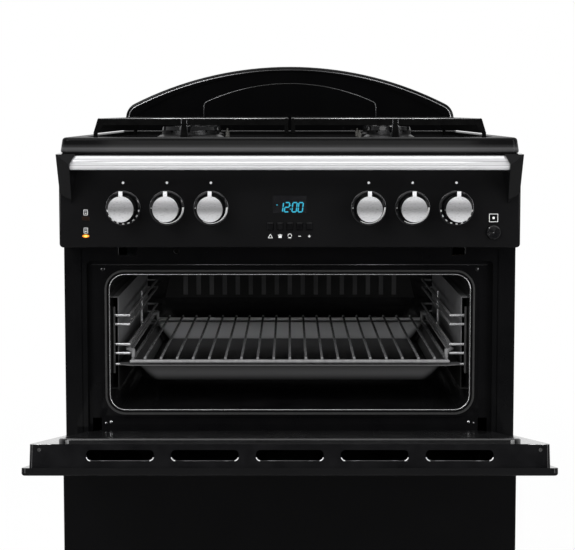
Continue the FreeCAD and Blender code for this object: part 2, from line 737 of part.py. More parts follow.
def pan_support(name, side):
    """Half-width pan support: flared side plates, bars, fingers and legs."""
    top, bar, deep = float(s.grid_top), float(s.grid_bar), float(s.grid_deep)
    floor = float(WELL + s.slack)
    low, plate = float(s.grid_low), float(s.grid_plate)
    x0, x1 = float(s.grid_inner) + plate, float(s.grid_half) - bar
    front, back = float(F + s.grid_front), float(F + s.grid_back)
    under = top - deep
    flare = float(s.grid_flare)
    made = []

    def prism(points, along):
        return Part.Face(Part.makePolygon(points + points[:1])).extrude(along)

    def bar_x(a, b, y):
        made.append(prism([V(a, y - bar / 2, under), V(a, y + bar / 2, under),
                           V(a, y + bar / 2, top - 1), V(a, y + bar / 2 - 1, top),
                           V(a, y - bar / 2 + 1, top), V(a, y - bar / 2, top - 1)],
                          V(b - a, 0, 0)))

    def bar_y(x, a, b):
        made.append(prism([V(x - bar / 2, a, under), V(x + bar / 2, a, under),
                           V(x + bar / 2, a, top - 1), V(x + bar / 2 - 1, a, top),
                           V(x - bar / 2 + 1, a, top), V(x - bar / 2, a, top - 1)],
                          V(0, b - a, 0)))

    def leg(x, y, wide, foot, high, thick=5.0):
        made.append(Part.makeLoft([Part.makePolygon([
            V(x - w / 2, y - thick / 2, z), V(x + w / 2, y - thick / 2, z),
            V(x + w / 2, y + thick / 2, z), V(x - w / 2, y + thick / 2, z),
            V(x - w / 2, y - thick / 2, z)]) for w, z in ((foot, floor), (wide, high))], True, True))

    outer = x1 + bar
    made.append(prism([V(x1, front, top), V(outer - 1, front, top), V(outer, front, top - 1),
                       V(outer + flare, front, low), V(outer + flare - plate, front, low),
                       V(x1, front, under)], V(0, back - front, 0)))
    inner = x0 - plate
    made.append(prism([V(inner, front, low), V(x0, front, low), V(x0, front, top),
                       V(inner + 1, front, top), V(inner, front, top - 1)],
                      V(0, back - front, 0)))
    ys = (front + bar / 2, (front + back) / 2, back - bar / 2)
    for y in ys:
        bar_x(x0, x1, y)
    bx, gap = float(s.burner_x), float(s.finger_gap)
    for near, far, burner in ((ys[0], ys[1], s.burner_front), (ys[1], ys[2], s.burner_rear)):
        by = float(F + burner)
        bar_x(x0, bx - gap, by)
        bar_x(bx + gap, x1, by)
        bar_y(bx, near + bar / 2, by - gap)
        bar_y(bx, by + gap, far - bar / 2)
    for y in (ys[0], ys[2]):
        leg(bx, y, bar, bar + 4.4, under)
        leg(inner + plate / 2, y, plate, plate, low)
        leg(outer + flare - plate / 2, y, plate, plate, low)
    shape = Part.makeCompound(made)
    return plain(name, mirrored(shape) if side < 0 else shape)


# ---------------------------------------------------------------- controls
def knob_places():
    outward = [s.knob_first + s.knob_pitch * k for k in range(3)]
    return [-x for x in reversed(outward)] + outward


def control_panel():
    """Pressed control fascia with returned edges and knob, clock and lamp holes."""
    body = new_body("control_panel")
    half, low, high, skin = s.panel_half, s.panel_low, s.panel_high, s.panel_sheet
    fascia = pad_y(body, "fascia", [[(-half, low, 5), (half, low, 5), (half, high),
                                     (-half, high)]],
                   FACE, s.panel_forward + s.plate_recess + s.inner_skin - s.slack)
    round_edges(body, "fascia_edge", fascia, lambda e: e.CenterOfMass.y < float(FACE) + 0.1
                and e.BoundBox.ZMin < float(high) - 1, 2.5)
    cut_y(body, "fascia_hollow", [box_corners(-half + skin, low + skin, half - skin,
                                              high - skin)], FACE + skin, s.panel_forward + 20)
    holes = [(x, s.knob_z, s.spindle_radius + 3) for x in knob_places()]
    holes.append((s.light_x, s.light_z, s.light_radius + 0.4))
    windows = [box_corners(-s.window_x, s.window_z - s.window_tall, s.window_x,
                           s.window_z + s.window_tall)]
    for k in range(5):
        x = s.button_pitch * (k - 2)
        windows.append(box_corners(x - 4.4, s.button_z - 5.2, x + 4.4, s.button_z + 5.2))
    for z in (s.lamp_low_z, s.lamp_high_z):
        windows.append(box_corners(-s.lamp_x - 5.2, z - 2.7, -s.lamp_x + 5.2, z + 2.7))
    cut_y(body, "fascia_holes", windows, FACE - 1, 6, holes)
    return body


def knob_bezels():
    """Six domed bezel rings round the knobs."""
    outer, inner, high = float(s.bezel_outer), float(s.knob_radius) + 1.1, float(s.bezel_high)
    profile = [(inner, 0), (outer, 0), (outer - 0.8, high * 0.7), (outer - 2.2, high),
               (inner, high * 0.7)]
    return plain("knob_bezels", *[
        turned(profile, V(float(x), float(FACE), float(s.knob_z)), V(0, -1, 0))
        for x in knob_places()])


def knob(number, x):
    """Waisted knob with a bored boss and a metal disc that ends in a pointer tab."""
    x, z, face = float(x), float(s.knob_z), float(FACE)
    r, reach = float(s.knob_radius), float(s.knob_reach)
    gap, thin, wide = float(s.knob_push) + 1.0, float(s.disc_thick), float(s.tab_wide) / 2
    profile = [(0, gap), (r, gap), (r - 1.4, gap + 11), (r - 0.6, reach - thin), (0, reach - thin)]
    shell = turned(profile, V(x, face, z), V(0, -1, 0))
    spans = ((x - wide, x + wide), (face - reach - thin / 2, face - reach + 5),
             (z + 10, z + float(s.bezel_outer) + 0.1))
    tab = block(*spans)
    bore = rod(V(x, face, z), V(x, face - reach + 9, z), s.spindle_radius)
    shell = shell.cut(tab).cut(bore)
    disc = rod(V(x, face - reach + thin, z), V(x, face - reach, z), s.disc_radius)
    return plain("knob_%d" % number, shell, disc.fuse(tab).removeSplitter())


def tap_spindle(number, x):
    """Tap plug with its spindle: turns in the tap body and carries the knob."""
    reach = float(s.knob_reach - s.knob_push) - 10
    stem, plug = float(s.spindle_radius - s.spindle_clear), float(s.plug_radius - s.spindle_clear)
    profile = [(0, -46), (plug, -46), (plug, -30), (stem, -30), (stem, reach), (0, reach)]
    return plain("tap_spindle_%d" % number,
                 turned(profile, V(float(x), float(FACE), float(s.knob_z)), V(0, -1, 0)))


def gas_taps():
    """Six tap bodies that stand on the manifold, each bored for its plug."""
    taps = []
    face, z, half = float(FACE), float(s.knob_z), float(s.tap_half)
    for x in knob_places():
        x = float(x)
        tap = block((x - half, x + half), (face + 26, face + 50), (z - float(s.tap_foot), z + half))
        tap = tap.cut(rod(V(x, face + 29.9, z), V(x, face + 46.4, z), s.plug_radius))
        taps.append(tap.cut(rod(V(x, face + 20, z), V(x, face + 31, z), s.spindle_radius + 1)))
    return plain("gas_taps", *taps)


def gas_manifold():
    """Feed rail under the taps, with the supply pipe to the rear inlet."""
    r, half = float(s.pipe_radius), float(s.elbow) / 2
    z, y = float(s.knob_z - s.tap_foot) - r - 0.2, float(FACE) + 38
    side, inlet_x = float(s.opening_half) + 28, float(HALF - s.inlet_side)
    back, low = float(BACK) - 60, float(s.inlet_z)
    end = float(BACK + s.inlet_long)
    start = -float(s.knob_first + s.knob_pitch * 2) - 21
    corners = [V(side, y, z), V(side, back, z), V(side, back, low), V(inlet_x, back, low)]
    made = [block(*[(c - half, c + half) for c in corner]) for corner in corners]
    ends = [V(start, y, z)] + corners + [V(inlet_x, end, low)]
    for i, (a, b) in enumerate(zip(ends, ends[1:])):
        along = (b - a).normalize()
        first = a if i == 0 else a + along * half
        last = b - along * (half if i < 4 else float(s.inlet_long))
        made.append(rod(first, last, r))
    made.append(rod(V(inlet_x, end - float(s.inlet_long), low), V(inlet_x, end, low),
                    s.inlet_radius))
    return plain("gas_manifold", *made)


def rail_brackets():
    """Two faceted end brackets with a bevelled tip, socketed for the rail."""
    face, top = float(FACE), float(s.panel_high)
    half, tip = float(s.panel_half), float(F - s.rail_forward) - 12
    points = [V(half, face, top), V(half - 5.6, tip, top), V(half - 28.6, tip + 6, top),
              V(half - 28.6, face, top), V(half - 22.6, tip - 3, top - 13),
              V(half - 1.6, face - 2, top - 51), V(half - 16.6, face - 2, top - 64),
              V(half - 1.6, face, top - 51), V(half - 16.6, face, top - 64)]
    faces = [(0, 1, 2, 3), (1, 4, 2), (1, 5, 4), (5, 6, 4), (2, 4, 3), (4, 6, 3), (6, 8, 3),
             (0, 7, 1), (7, 5, 1), (5, 7, 8, 6), (0, 3, 8, 7)]
    solid = solid_of(points, faces)
    rail = V(float(s.rail_half), float(F - s.rail_forward), float(s.rail_z))
    solid = solid.cut(rod(rail, V(0, rail.y, rail.z), s.rail_radius))
    return plain("rail_brackets", solid, mirrored(solid))


def towel_rail():
    feature = doc.addObject("Part::Cylinder", "towel_rail")
    feature.setExpression("Radius", s.rail_radius.text)
    feature.setExpression("Height", (s.rail_half * 2).text)
    feature.Placement = FreeCAD.Placement(V(0, 0, 0), FreeCAD.Rotation(V(0, 1, 0), 90))
    feature.setExpression("Placement.Base.x", (-s.rail_half).text)
    feature.setExpression("Placement.Base.y", (F - s.rail_forward).text)
    feature.setExpression("Placement.Base.z", s.rail_z.text)
    return feature


def clock_module():
    """Closed clock box fixed behind the fascia."""
    body = new_body("clock_module")
    low, high = s.button_z - 16, s.window_z + 23.6
    pad_y(body, "clock_box", [box_corners(-40, low, 40, high, 4)], FACE + 8, 20)
    wide, tall = s.window_x + 0.8, s.window_tall + 0.8
    pad_y(body, "clock_frame", [
        box_corners(-30, s.window_z - 20.4, 30, s.window_z + 19.6, 3),
        box_corners(-wide, s.window_z - tall, wide, s.window_z + tall)],
          FACE + s.panel_sheet, 7)
    return body


def display_window():
    body = new_body("display_window")
    wide, tall = s.window_x - 0.2, s.window_tall - 0.2
    pad_y(body, "pane", [box_corners(-wide, s.window_z - tall, wide, s.window_z + tall)],
          FACE + 0.3, 7.6)
    return body


def timer_button(number):
    """Domed rectangular push button with a retaining flange."""
    body = new_body("timer_button_%d" % number)
    x, z = s.button_pitch * (number - 3), s.button_z
    cap = pad_y(body, "cap_%d" % number, [box_corners(x - 4.1, z - 4.9, x + 4.1, z + 4.9)],
                FACE - 2, 4.5)
    round_edges(body, "dome_%d" % number, cap, lambda e: e.CenterOfMass.y < float(FACE) - 1.9,
                1.0, "Chamfer")
    pad_y(body, "flange_%d" % number, [box_corners(x - 5.2, z - 6, x + 5.2, z + 6)],
          FACE + s.panel_sheet + s.slack, 1.2)
    return body


def light_button():
    """Round push button with a shallow dish and a rear stem."""
    r = float(s.light_radius)
    profile = [(0, -12), (4, -12), (4, -4), (r + 2, -4), (r + 2, -2.4), (r, -2.4), (r, 3.4),
               (r - 1.2, 4.2), (0, 3.2)]
    return plain("light_button", turned(
        profile, V(float(s.light_x), float(FACE), float(s.light_z)), V(0, -1, 0)))


def indicator_lamps():
    """Two lamp lenses clipped in the fascia."""
    lamps = []
    face, x = float(FACE), -float(s.lamp_x)
    behind = face + float(s.panel_sheet)
    for z in (float(s.lamp_low_z), float(s.lamp_high_z)):
        lens = block((x - 5, x + 5), (face - 0.6, behind), (z - 2.5, z + 2.5))
        lens = lens.makeChamfer(0.5, [e for e in lens.Edges if e.CenterOfMass.y < face - 0.5])
        lamps.append(lens.fuse(block((x - 6.5, x + 6.5), (behind, behind + 6), (z - 4, z + 4))))
    return plain("indicator_lamps", *lamps)


# ---------------------------------------------------------------- doors
DOOR_BACK = F - s.door_gap
AXIS_Y = F - s.hinge_forward


def hinge_places():
    return [-s.hinge_x, s.hinge_x]


def opened(feature, low):
    """Swings a door piece, drawn closed, out to the pose that it rests in."""
    axis = V(0, float(AXIS_Y), float(low + s.hinge_above))
    turn = FreeCAD.Rotation(V(1, 0, 0), float(s.open_angle))
    feature.Placement = FreeCAD.Placement(V(0, 0, 0), turn, axis)
    return feature


def door_outer_panel(name, low, high):
    """Outer panel with a folded border, relieved behind for the hinge cheeks."""
    body = new_body(name)
    half, face, skin = s.door_width / 2, F - s.door_face, s.door_skin
    slab = pad_y(body, name + "_slab", [box_corners(-half, low, half, high, 6)], face,
                 s.door_panel)
    round_edges(body, name + "_edge", slab, lambda e: e.CenterOfMass.y < float(face) + 0.1, 3)
    rim = s.door_border
    cut_y(body, name + "_hollow", [box_corners(-half + rim, low + rim, half - rim, high - rim)],
          face + skin, s.door_panel)
    pockets = [box_corners(x - 10, low - 2, x + 10, low + s.hinge_above + 9)
               for x in hinge_places()]
    cut_y(body, name + "_hinge_relief", pockets, face + 1.8, s.door_panel)
    return body


def door_frame(name, low, high, window=None):
    """Door carcass: slotted top, hollow front and slotted hinge boxes."""
    body = new_body(name)
    half, skin = s.door_frame_width / 2, s.door_skin
    start = F - s.door_face + s.door_panel
    deep = s.door_face - s.door_panel - s.door_gap
    base, top = low + 2, high - 2
    pad_y(body, name + "_shell", [box_corners(-half, base, half, top, 4)], start, deep)
    hollow = [box_corners(-half + skin, base + skin, half - skin, top - skin, 4 - skin)]
    if window:
        hollow.append(box_corners(-s.window_half - skin, window[0] - skin, s.window_half + skin,
                                  window[1] + skin, 12 + skin))
    cut_y(body, name + "_hollow", hollow, start, deep - skin)
    if window:
        cut_y(body, name + "_window", [box_corners(-s.window_half, window[0], s.window_half,
                                                   window[1], 12)], start - 1, deep + 5)
    scoops = []
    for k in range(5):
        x = sized(94 * (k - 2))
        scoops.append(box_corners(x - 37.5, start + deep * 0.3, x + 37.5, start + deep * 0.75, 5))
    cut_z(body, name + "_scoops", scoops, top + 1, 8)
    axis_z = low + s.hinge_above
    for side, x in zip("ab", hinge_places()):
        cheek = box_corners(AXIS_Y - 3.8, base, start + deep, axis_z + 38)
        pad_x(body, name + "_cheek_" + side, cheek, x - 9, sized(18))
        cut_x(body, name + "_slot_" + side, box_corners(AXIS_Y - 5, base - 2, F + 8, axis_z + 34),
              x - 5, sized(10))
        bore = sketch_on(body, "YZ_Plane", name + "_bore_sketch_" + side, x - 12)
        draw_circle(bore, AXIS_Y, axis_z, s.pin_radius + s.pin_clear)
        grow(body, "Pocket", name + "_bore_" + side, bore, sized(24), True)
    return body


def door_liner(name, low, high, window=None):
    """Inner enamelled panel, stepped into the recess, hollow towards the door."""
    body = new_body(name)
    half, step, skin = s.liner_half, s.liner_step, s.door_skin
    base, top = low + s.liner_low, high - s.liner_high
    slab = pad_y(body, name + "_slab", [box_corners(-half, base, half, top, 16)], DOOR_BACK, step)
    round_edges(body, name + "_edge", slab,
                lambda e: e.CenterOfMass.y > float(DOOR_BACK + step) - 0.1, 2)
    wall = sized(4)
    hollow = [box_corners(-half + wall, base + wall, half - wall, top - wall, 16 - wall)]
    if window:
        lip = s.window_lip
        hollow.append(box_corners(-s.window_half - 2, window[0] - 2, s.window_half + 2,
                                  window[1] + 2, 14))
        cut_y(body, name + "_window", [box_corners(-s.window_half + lip, window[0] + lip,
                                                   s.window_half - lip, window[1] - lip, 10)],
              DOOR_BACK - 1, step + 5)
    cut_y(body, name + "_hollow", hollow, DOOR_BACK, step - skin)
    slots = [box_corners(x - 5, base - 5, x + 5, low + s.hinge_above + 34) for x in hinge_places()]
    cut_y(body, name + "_hinge_slots", slots, DOOR_BACK - 1, step + 5)
    return body


def door_glass(name, window):
    """Inner glass held in the door frame by its liner."""
    body = new_body(name)
    edge = 0.4
    pad_y(body, name + "_pane", [box_corners(-s.window_half + edge, window[0] + edge,
                                             s.window_half - edge, window[1] - edge, 12 - edge)],
          DOOR_BACK - s.glass_thick - 0.1, s.glass_thick)
    return body


def door_hinge_arms():
    """Four fixed hinge arms with their pins and the boxes that hold them."""
    arms = []
    r, half = float(s.pin_radius), float(s.arm_wide) / 2
    y, back = float(AXIS_Y), float(PLATE + s.inner_skin)
    for low in (s.upper_door_low, s.lower_door_low):
        z = float(low + s.hinge_above)
        for x in hinge_places():
            x = float(x)
            arm = block((x - half, x + half), (y, back), (z - r, z + r))
            arm = arm.fuse(rod(V(x - 8.8, y, z), V(x + 8.8, y, z), r))
            arms.append(arm.fuse(block((x - 6, x + 6), (back, back + 78), (z - 8, z + 8))))
    return plain("door_hinge_arms", *arms)


# ---------------------------------------------------------------- inside the ovens
def side_racks():
    """Four chrome racks: bent rungs welded on upright wires, one rack a side."""
    made = []
    r, wall = float(s.rack_wire), float(s.opening_half)
    front, back = float(F + s.rack_front), float(F + s.rack_back)
    upright, rung_x = wall - float(s.slack) - r, wall - float(s.rung_in)
    upper = [float(s.shelf_rung) + rise for rise in (51.6, 39.4, 12.2, 0)]
    upper.append(float(s.tray_rung))
    lower = [float(s.low_rung) + 55 * k for k in range(-1, 3)]
    for rungs in (upper, lower):
        top, low = max(rungs) + 12, min(rungs) - 12
        for side in LEFT_RIGHT:
            for z in rungs:
                end = (upright - r) * side
                made.append(mitred([V(end, front, z), V(rung_x * side, front, z),
                                    V(rung_x * side, back, z), V(end, back, z)], r))
            for y in (front, back):
                made.append(rod(V(upright * side, y, low), V(upright * side, y, top), r))
            x = (rung_x + 2 * r) * side
            middle, above = (front + back) / 2, sorted(rungs)[2] - 1.5 * r
            made.append(rod(V(x, middle, above), V(x, middle, top - 4), r))
    return plain("side_racks", *made)


def wire_shelf(name, rung):
    """Dropped shelf: a wire frame under lengthways wires, hung on bent side rails."""
    thick, thin = float(s.shelf_frame), float(s.shelf_wire)
    rail_z = float(rung + s.rack_wire + s.rack_gap) + thick
    low_z = rail_z - float(s.shelf_drop)
    front, back = float(F + s.shelf_front), float(F + s.shelf_back)
    edge = float(s.opening_half - s.shelf_in)
    rail_x = float(s.opening_half - s.rail_in)
    wires = [mitred([V(0, front, low_z), V(edge, front, low_z), V(edge, back, low_z),
                     V(-edge, back, low_z), V(-edge, front, low_z)], thick, True)]
    for side in LEFT_RIGHT:
        x, out = edge * side, rail_x * side
        wires.append(mitred([
            V(x, front + 16, low_z + thick), V(x, front + 16, rail_z),
            V(out, front + 27, rail_z), V(out, back - 27, rail_z),
            V(x, back - 16, rail_z), V(x, back - 16, low_z + thick)], thick))
    wire_z = low_z + thick + thin
    count = 19
    pitch = (edge - 17.5) / (count // 2)
    for k in range(count):
        x = pitch * (k - count // 2)
        wires.append(rod(V(x, front - 1, wire_z), V(x, back + 1, wire_z), thin))
    return plain(name, *wires)


def rounded_ring(half, front, back, z, r):
    points = [V(-half, front, z), V(half, front, z), V(half, back, z), V(-half, back, z)]
    q = r * (1 - math.sqrt(0.5))
    count = len(points)
    spots = []
    for i, p in enumerate(points):
        a = (points[i - 1] - p).normalize()
        b = (points[(i + 1) % count] - p).normalize()
        spots.append((p + a * r, p + (a + b) * q, p + b * r))
    edges = []
    for i, (one, middle, two) in enumerate(spots):
        edges.append(Part.Arc(one, middle, two).toShape())
        edges.append(Part.LineSegment(two, spots[(i + 1) % count][0]).toShape())
    return Part.Wire(edges)


def roasting_tray():
    """Drawn tray: tapered walls, rounded corners and a flat rim on the rungs."""
    rim_z = float(s.tray_rung + s.rack_wire + s.rack_gap)
    low, thick = rim_z - float(s.tray_deep), float(s.tray_sheet)
    front, back = float(F) + 15, float(F + s.shelf_back) - 6
    wide = float(s.opening_half - s.rung_in) - float(s.rack_wire) - 4

    def walls(grow_by, floor):
        return Part.makeLoft([
            rounded_ring(wide - 12 + grow_by, front + 14 - grow_by, back - 14 + grow_by, floor, 26),
            rounded_ring(wide + grow_by, front + 2 - grow_by, back - 2 + grow_by,
                         rim_z + thick, 30)], True, True)

    rim = Part.Face(rounded_ring(float(s.opening_half - s.tray_in), front - 8, back + 6, rim_z,
                                 20)).extrude(V(0, 0, thick))
    return plain("roasting_tray", walls(thick, low - thick).fuse(rim).cut(walls(0, low)))


def side_liners():
    """Two dished side liners on the upper oven's walls, open at the front."""
    wall, sheet_thick = float(s.opening_half), 1.2
    face = wall - float(s.liner_in)
    low, high = float(s.upper_floor) + 22, float(s.upper_roof) - 34
    front, back = float(F + s.rack_front) + 6, float(F + s.rack_back) - 6
    plate = block((face, wall), (front, back), (low, high))
    plate = plate.cut(block((face + sheet_thick, wall + 1), (front - 1, back - sheet_thick),
                            (low + sheet_thick, high - sheet_thick)))
    return plain("side_liners", plate, mirrored(plate))


def flue_baffle():
    """Ribbed baffle over the flue outlet in the upper oven's back wall."""
    back = float(PLATE + s.cavity_depth)
    low, high = float(s.upper_floor) + 92, float(s.upper_roof) - 17
    deep, half = float(s.baffle_deep), float(s.opening_half) - 34
    skin, slant = 2.0, 18.0

    def wedge(inset, bottom, top, depth):
        outline = [V(-half + inset, back, bottom), V(half - inset, back, bottom),
                   V(half - inset - slant, back, top), V(-half + inset + slant, back, top)]
        return Part.Face(Part.makePolygon(outline + outline[:1])).extrude(V(0, -depth, 0))

    shell = wedge(0, low, high, deep).cut(wedge(skin + 1, low - 5, high - skin, deep - skin))
    ribs = [block((x - 3.5, x + 3.5), (back - deep - 2.5, back - deep), (low + 5, high - 5))
            for x in [21.5 * (k - 8) for k in range(17)]]
    return plain("flue_baffle", shell, *ribs)


def oven_burners():
    """Grill burner under the upper roof and a tube burner in the lower oven."""
    roof, floor = float(s.upper_roof), float(s.lower_floor)
    wall = float(PLATE + s.cavity_depth)
    y = float(F) + 150
    grill = block((-150, 150), (y, y + 130), (roof - 14, roof))
    grill = grill.makeChamfer(4, [e for e in grill.Edges if e.CenterOfMass.z < roof - 13.9])
    slots = [block((x, x + 3), (y + 15, y + 115), (roof - 15, roof - 10))
             for x in [30 * k - 135 for k in range(10)]]
    grill = grill.cut(Part.makeCompound(slots))
    grill = grill.fuse(rod(V(0, y + 120, roof - 9), V(0, wall, roof - 9), 8))
    y = float(F) + 372
    tube = rod(V(-170, y, floor + 20), V(170, y, floor + 20), 10)
    for x in (-150, 150):
        tube = tube.fuse(block((x - 6, x + 6), (y - 10, y + 10), (floor, floor + 14)))
    tail = rod(V(0, y, floor + 20), V(0, wall, floor + 20), 7)
    return plain("oven_burners", grill, tube.fuse(tail))


def cable_entry():
    """Rear terminal cover with its cable gland."""
    body = new_body("cable_entry")
    x, half, tall, deep = s.cable_side - HALF, sized(35), sized(45), sized(12)
    cover = pad_y(body, "terminal_cover", [box_corners(x - half, s.cable_z - tall, x + half,
                                                       s.cable_z + tall, 8)], BACK, deep)
    round_edges(body, "terminal_edge", cover,
                lambda e: e.CenterOfMass.y > float(BACK + deep) - 0.1, 3, "Chamfer")
    low = s.cable_z - tall - 8
    pad_z(body, "gland", [], low, 12, [(x, BACK + 6.5, 6.2)])
    cut_z(body, "gland_bore", [], low + 23, 24, [(x, BACK + 6.5, 3.6)])
    return body


def build_all():
    made = [
        side_panel("side_panel_left", -1),
        side_panel("side_panel_right", 1),
        rear_panel(),
        base_pan(),
        levelling_feet(),
        plinth(),
        oven_front_frame(),
        cavity("upper_cavity", s.upper_floor, s.upper_roof),
        cavity("lower_cavity", s.lower_floor, s.lower_roof),
        door_seals(),
        hob_top(),
        burner_heads(),
        burner_caps(),
        spark_electrodes(),
        splashback(),
        pan_support("pan_support_left", -1),
        pan_support("pan_support_right", 1),
        control_panel(),
        knob_bezels(),
        gas_taps(),
        gas_manifold(),
        rail_brackets(),
        towel_rail(),
        clock_module(),
        display_window(),
        light_button(),
        indicator_lamps(),
        door_hinge_arms(),
        side_racks(),
        side_liners(),
        wire_shelf("upper_shelf", s.shelf_rung),
        wire_shelf("lower_shelf", s.low_rung),
        roasting_tray(),
        flue_baffle(),
        oven_burners(),
        cable_entry(),
    ]
    low, high = s.upper_door_low, s.upper_door_high
    made.append(opened(door_outer_panel("upper_door_outer_panel", low, high), low))
    made.append(opened(door_frame("upper_door_frame", low, high), low))
    made.append(opened(door_liner("upper_door_liner", low, high), low))
    low, high = s.lower_door_low, s.lower_door_high
    window = (low + 80, high - 60)
    made.append(door_outer_panel("lower_door_outer_panel", low, high))
    made.append(door_frame("lower_door_frame", low, high, window))
    made.append(door_liner("lower_door_liner", low, high, window))
    made.append(door_glass("lower_door_glass", window))
    for number, x in enumerate(knob_places(), 1):
        made.append(knob(number, x))
        made.append(tap_spindle(number, x))
    for number in range(1, 6):
        made.append(timer_button(number))
    return made


def write_all(made):
    doc.recompute()
    for item in doc.Objects:
        if "Invalid" in item.State or "Error" in item.State:
            raise RuntimeError("%s failed: %s" % (item.Name, item.State))
    os.makedirs("parts", exist_ok=True)
    for item in made:
        shape = item.Shape
        if shape.isNull() or not shape.isValid():
            raise RuntimeError(item.Label + " has no valid shape")
        shape.exportStep("parts/%s.step" % item.Label)
        box = shape.BoundBox
        print("%-26s solids %d  x %.1f..%.1f  y %.1f..%.1f  z %.1f..%.1f" % (
            item.Label, len(shape.Solids), box.XMin, box.XMax, box.YMin, box.YMax,
            box.ZMin, box.ZMax))


write_all(build_all())
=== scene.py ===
import math

import bmesh
import bpy
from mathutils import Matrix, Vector


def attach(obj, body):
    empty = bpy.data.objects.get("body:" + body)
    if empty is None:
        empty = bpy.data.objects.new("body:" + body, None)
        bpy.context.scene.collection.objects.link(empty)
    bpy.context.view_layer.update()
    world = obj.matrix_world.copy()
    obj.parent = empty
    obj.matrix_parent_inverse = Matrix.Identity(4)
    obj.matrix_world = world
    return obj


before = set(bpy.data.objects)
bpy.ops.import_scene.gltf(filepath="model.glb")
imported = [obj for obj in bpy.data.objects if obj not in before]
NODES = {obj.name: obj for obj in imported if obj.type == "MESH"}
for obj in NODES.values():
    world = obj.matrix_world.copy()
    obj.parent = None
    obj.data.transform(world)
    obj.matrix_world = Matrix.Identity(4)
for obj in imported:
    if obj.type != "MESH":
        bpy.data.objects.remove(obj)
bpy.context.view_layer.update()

# Places in metres, in the CAD model's frame: x to the right, y to the back, z up.
FRONT = -0.1389                  # the flat front frame behind the doors
FACE = FRONT - 0.045             # the control panel's face
PLATE = FRONT + 0.008            # the recessed plate round the oven openings
SPLASH_FACE = FRONT + 0.536      # the splashback's face
KNOB_X = (-0.2138, -0.1575, -0.1012, 0.1012, 0.1575, 0.2138)
KNOB_Z = 0.8097
KNOB_DISC = FACE - 0.02615       # the metal disc of a knob lies in front of this
DOT_Z = 0.842                    # the printed dots above the knobs
LAMP_X = -0.2622                 # the two lamps and the icons above them
HOB_LIP, HOB_TOP = 0.880, 0.900  # the hob's rolled front edge
RAIL_LOW, RAIL_HIGH = 0.8600, 0.8780             # the towel rail's underside and top
OPENING_HALF, OPENING_CORNER = 0.240, 0.020      # half the ovens' width, and their corners
OPENINGS = {"upper": (0.535, 0.717), "lower": (0.128, 0.446)}    # low and high edge
DOORS = {"upper": (0.4756, 0.7530), "lower": (0.1020, 0.4710)}   # low and high edge when shut
REST_TURN = {"upper": math.radians(78), "lower": 0.0}            # how far each door is open
SPLASH_FOOT = 0.9003             # where the splashback's leaning sides start
BEAD_FOOT = 0.905                # where the painted highlight beads on the splashback start
MARK_HIGH, MARK_SUNK = 0.00012, 0.00005          # how far a mark stands out, and goes in

# Where a finish turns into its second one, by the distance from 0.
LINER_FADE = (0.585, 0.635)      # painted light: the side liners are painted pale upwards
BAFFLE_FADE = (0.2745, 0.2752)   # painted shade: the baffle is painted darker behind its ribs
SHELF_FADE = (0.205, 0.216)      # painted light: the shelf's wires are painted bright at the rear
RACK_FADE = (0.2353, 0.2357)     # painted shade: the racks' uprights are painted dark near the wall
RIM_FADE = (0.03, 0.19)          # the painted highlight beads on the splashback's rim, and below on its arch, brighten away from the middle
ARCH_FADE = (0.05, 0.13)

scene = bpy.context.scene
scene.view_settings.view_transform = "Standard"


# ---------------------------------------------------------------- camera
def make_camera():
    """The photograph's camera, found by laying the model's edges over the photograph's."""
    away, high, pitch = 1.680, 0.932, math.radians(4.0)
    data = bpy.data.cameras.new("photo_camera")
    cam = bpy.data.objects.new("photo_camera", data)
    scene.collection.objects.link(cam)
    data.sensor_width = 36.0
    data.lens = 79.95
    data.shift_x = -0.004
    data.shift_y = -0.1275
    data.clip_start = 0.05
    data.clip_end = 50
    cam.location = (0.0, FRONT - away, high)
    cam.rotation_euler = (math.radians(90) - pitch, 0.0, 0.0)
    scene.camera = cam


# ---------------------------------------------------------------- materials
def node(tree, kind, **values):
    """A new shader node with its settings."""
    made = tree.nodes.new(kind)
    for key, value in values.items():
        setattr(made, key, value)
    return made


def noise(tree, scale, detail=3.0, stretch=None):
    """Noise fixed to the object, stretched along its axes if asked."""
    coords = node(tree, "ShaderNodeTexCoord")
    mapping = node(tree, "ShaderNodeMapping")
    if stretch:
        mapping.inputs["Scale"].default_value = stretch
    made = node(tree, "ShaderNodeTexNoise")
    made.inputs["Scale"].default_value = scale
    made.inputs["Detail"].default_value = detail
    tree.links.new(coords.outputs["Object"], mapping.inputs["Vector"])
    tree.links.new(mapping.outputs["Vector"], made.inputs["Vector"])
    return made


def ramp(tree, source, low, high, start=0.3, end=0.7):
    """A colour that goes from low to high as the source goes from start to end."""
    made = node(tree, "ShaderNodeValToRGB")
    made.color_ramp.elements[0].position = start
    made.color_ramp.elements[1].position = end
    made.color_ramp.elements[0].color = (*low, 1)
    made.color_ramp.elements[1].color = (*high, 1)
    tree.links.new(source, made.inputs["Fac"])
    return made.outputs["Color"]


def spread(tree, source, low, high):
    """A number that goes from low to high as the source goes from 0 to 1."""
    made = node(tree, "ShaderNodeMapRange")
    made.inputs["To Min"].default_value = low
    made.inputs["To Max"].default_value = high
    tree.links.new(source, made.inputs["Value"])
    return made.outputs["Result"]


def between(tree, source, low, high, start=0.0, end=1.0, kind="SMOOTHSTEP"):
    """A number that goes from start to end as the source goes from low to high."""
    made = node(tree, "ShaderNodeMapRange", interpolation_type=kind)
    made.inputs["From Min"].default_value = low
    made.inputs["From Max"].default_value = high
    made.inputs["To Min"].default_value = start
    made.inputs["To Max"].default_value = end
    tree.links.new(source, made.inputs["Value"])
    return made.outputs["Result"]


def blend(tree, share, first, second, out):
    """Sends a blend of two shaders to the output node, by the second one's share."""
    mix = node(tree, "ShaderNodeMixShader")
    tree.links.new(share, mix.inputs["Fac"])
    tree.links.new(first, mix.inputs[1])
    tree.links.new(second, mix.inputs[2])
    tree.links.new(mix.outputs["Shader"], out.inputs["Surface"])


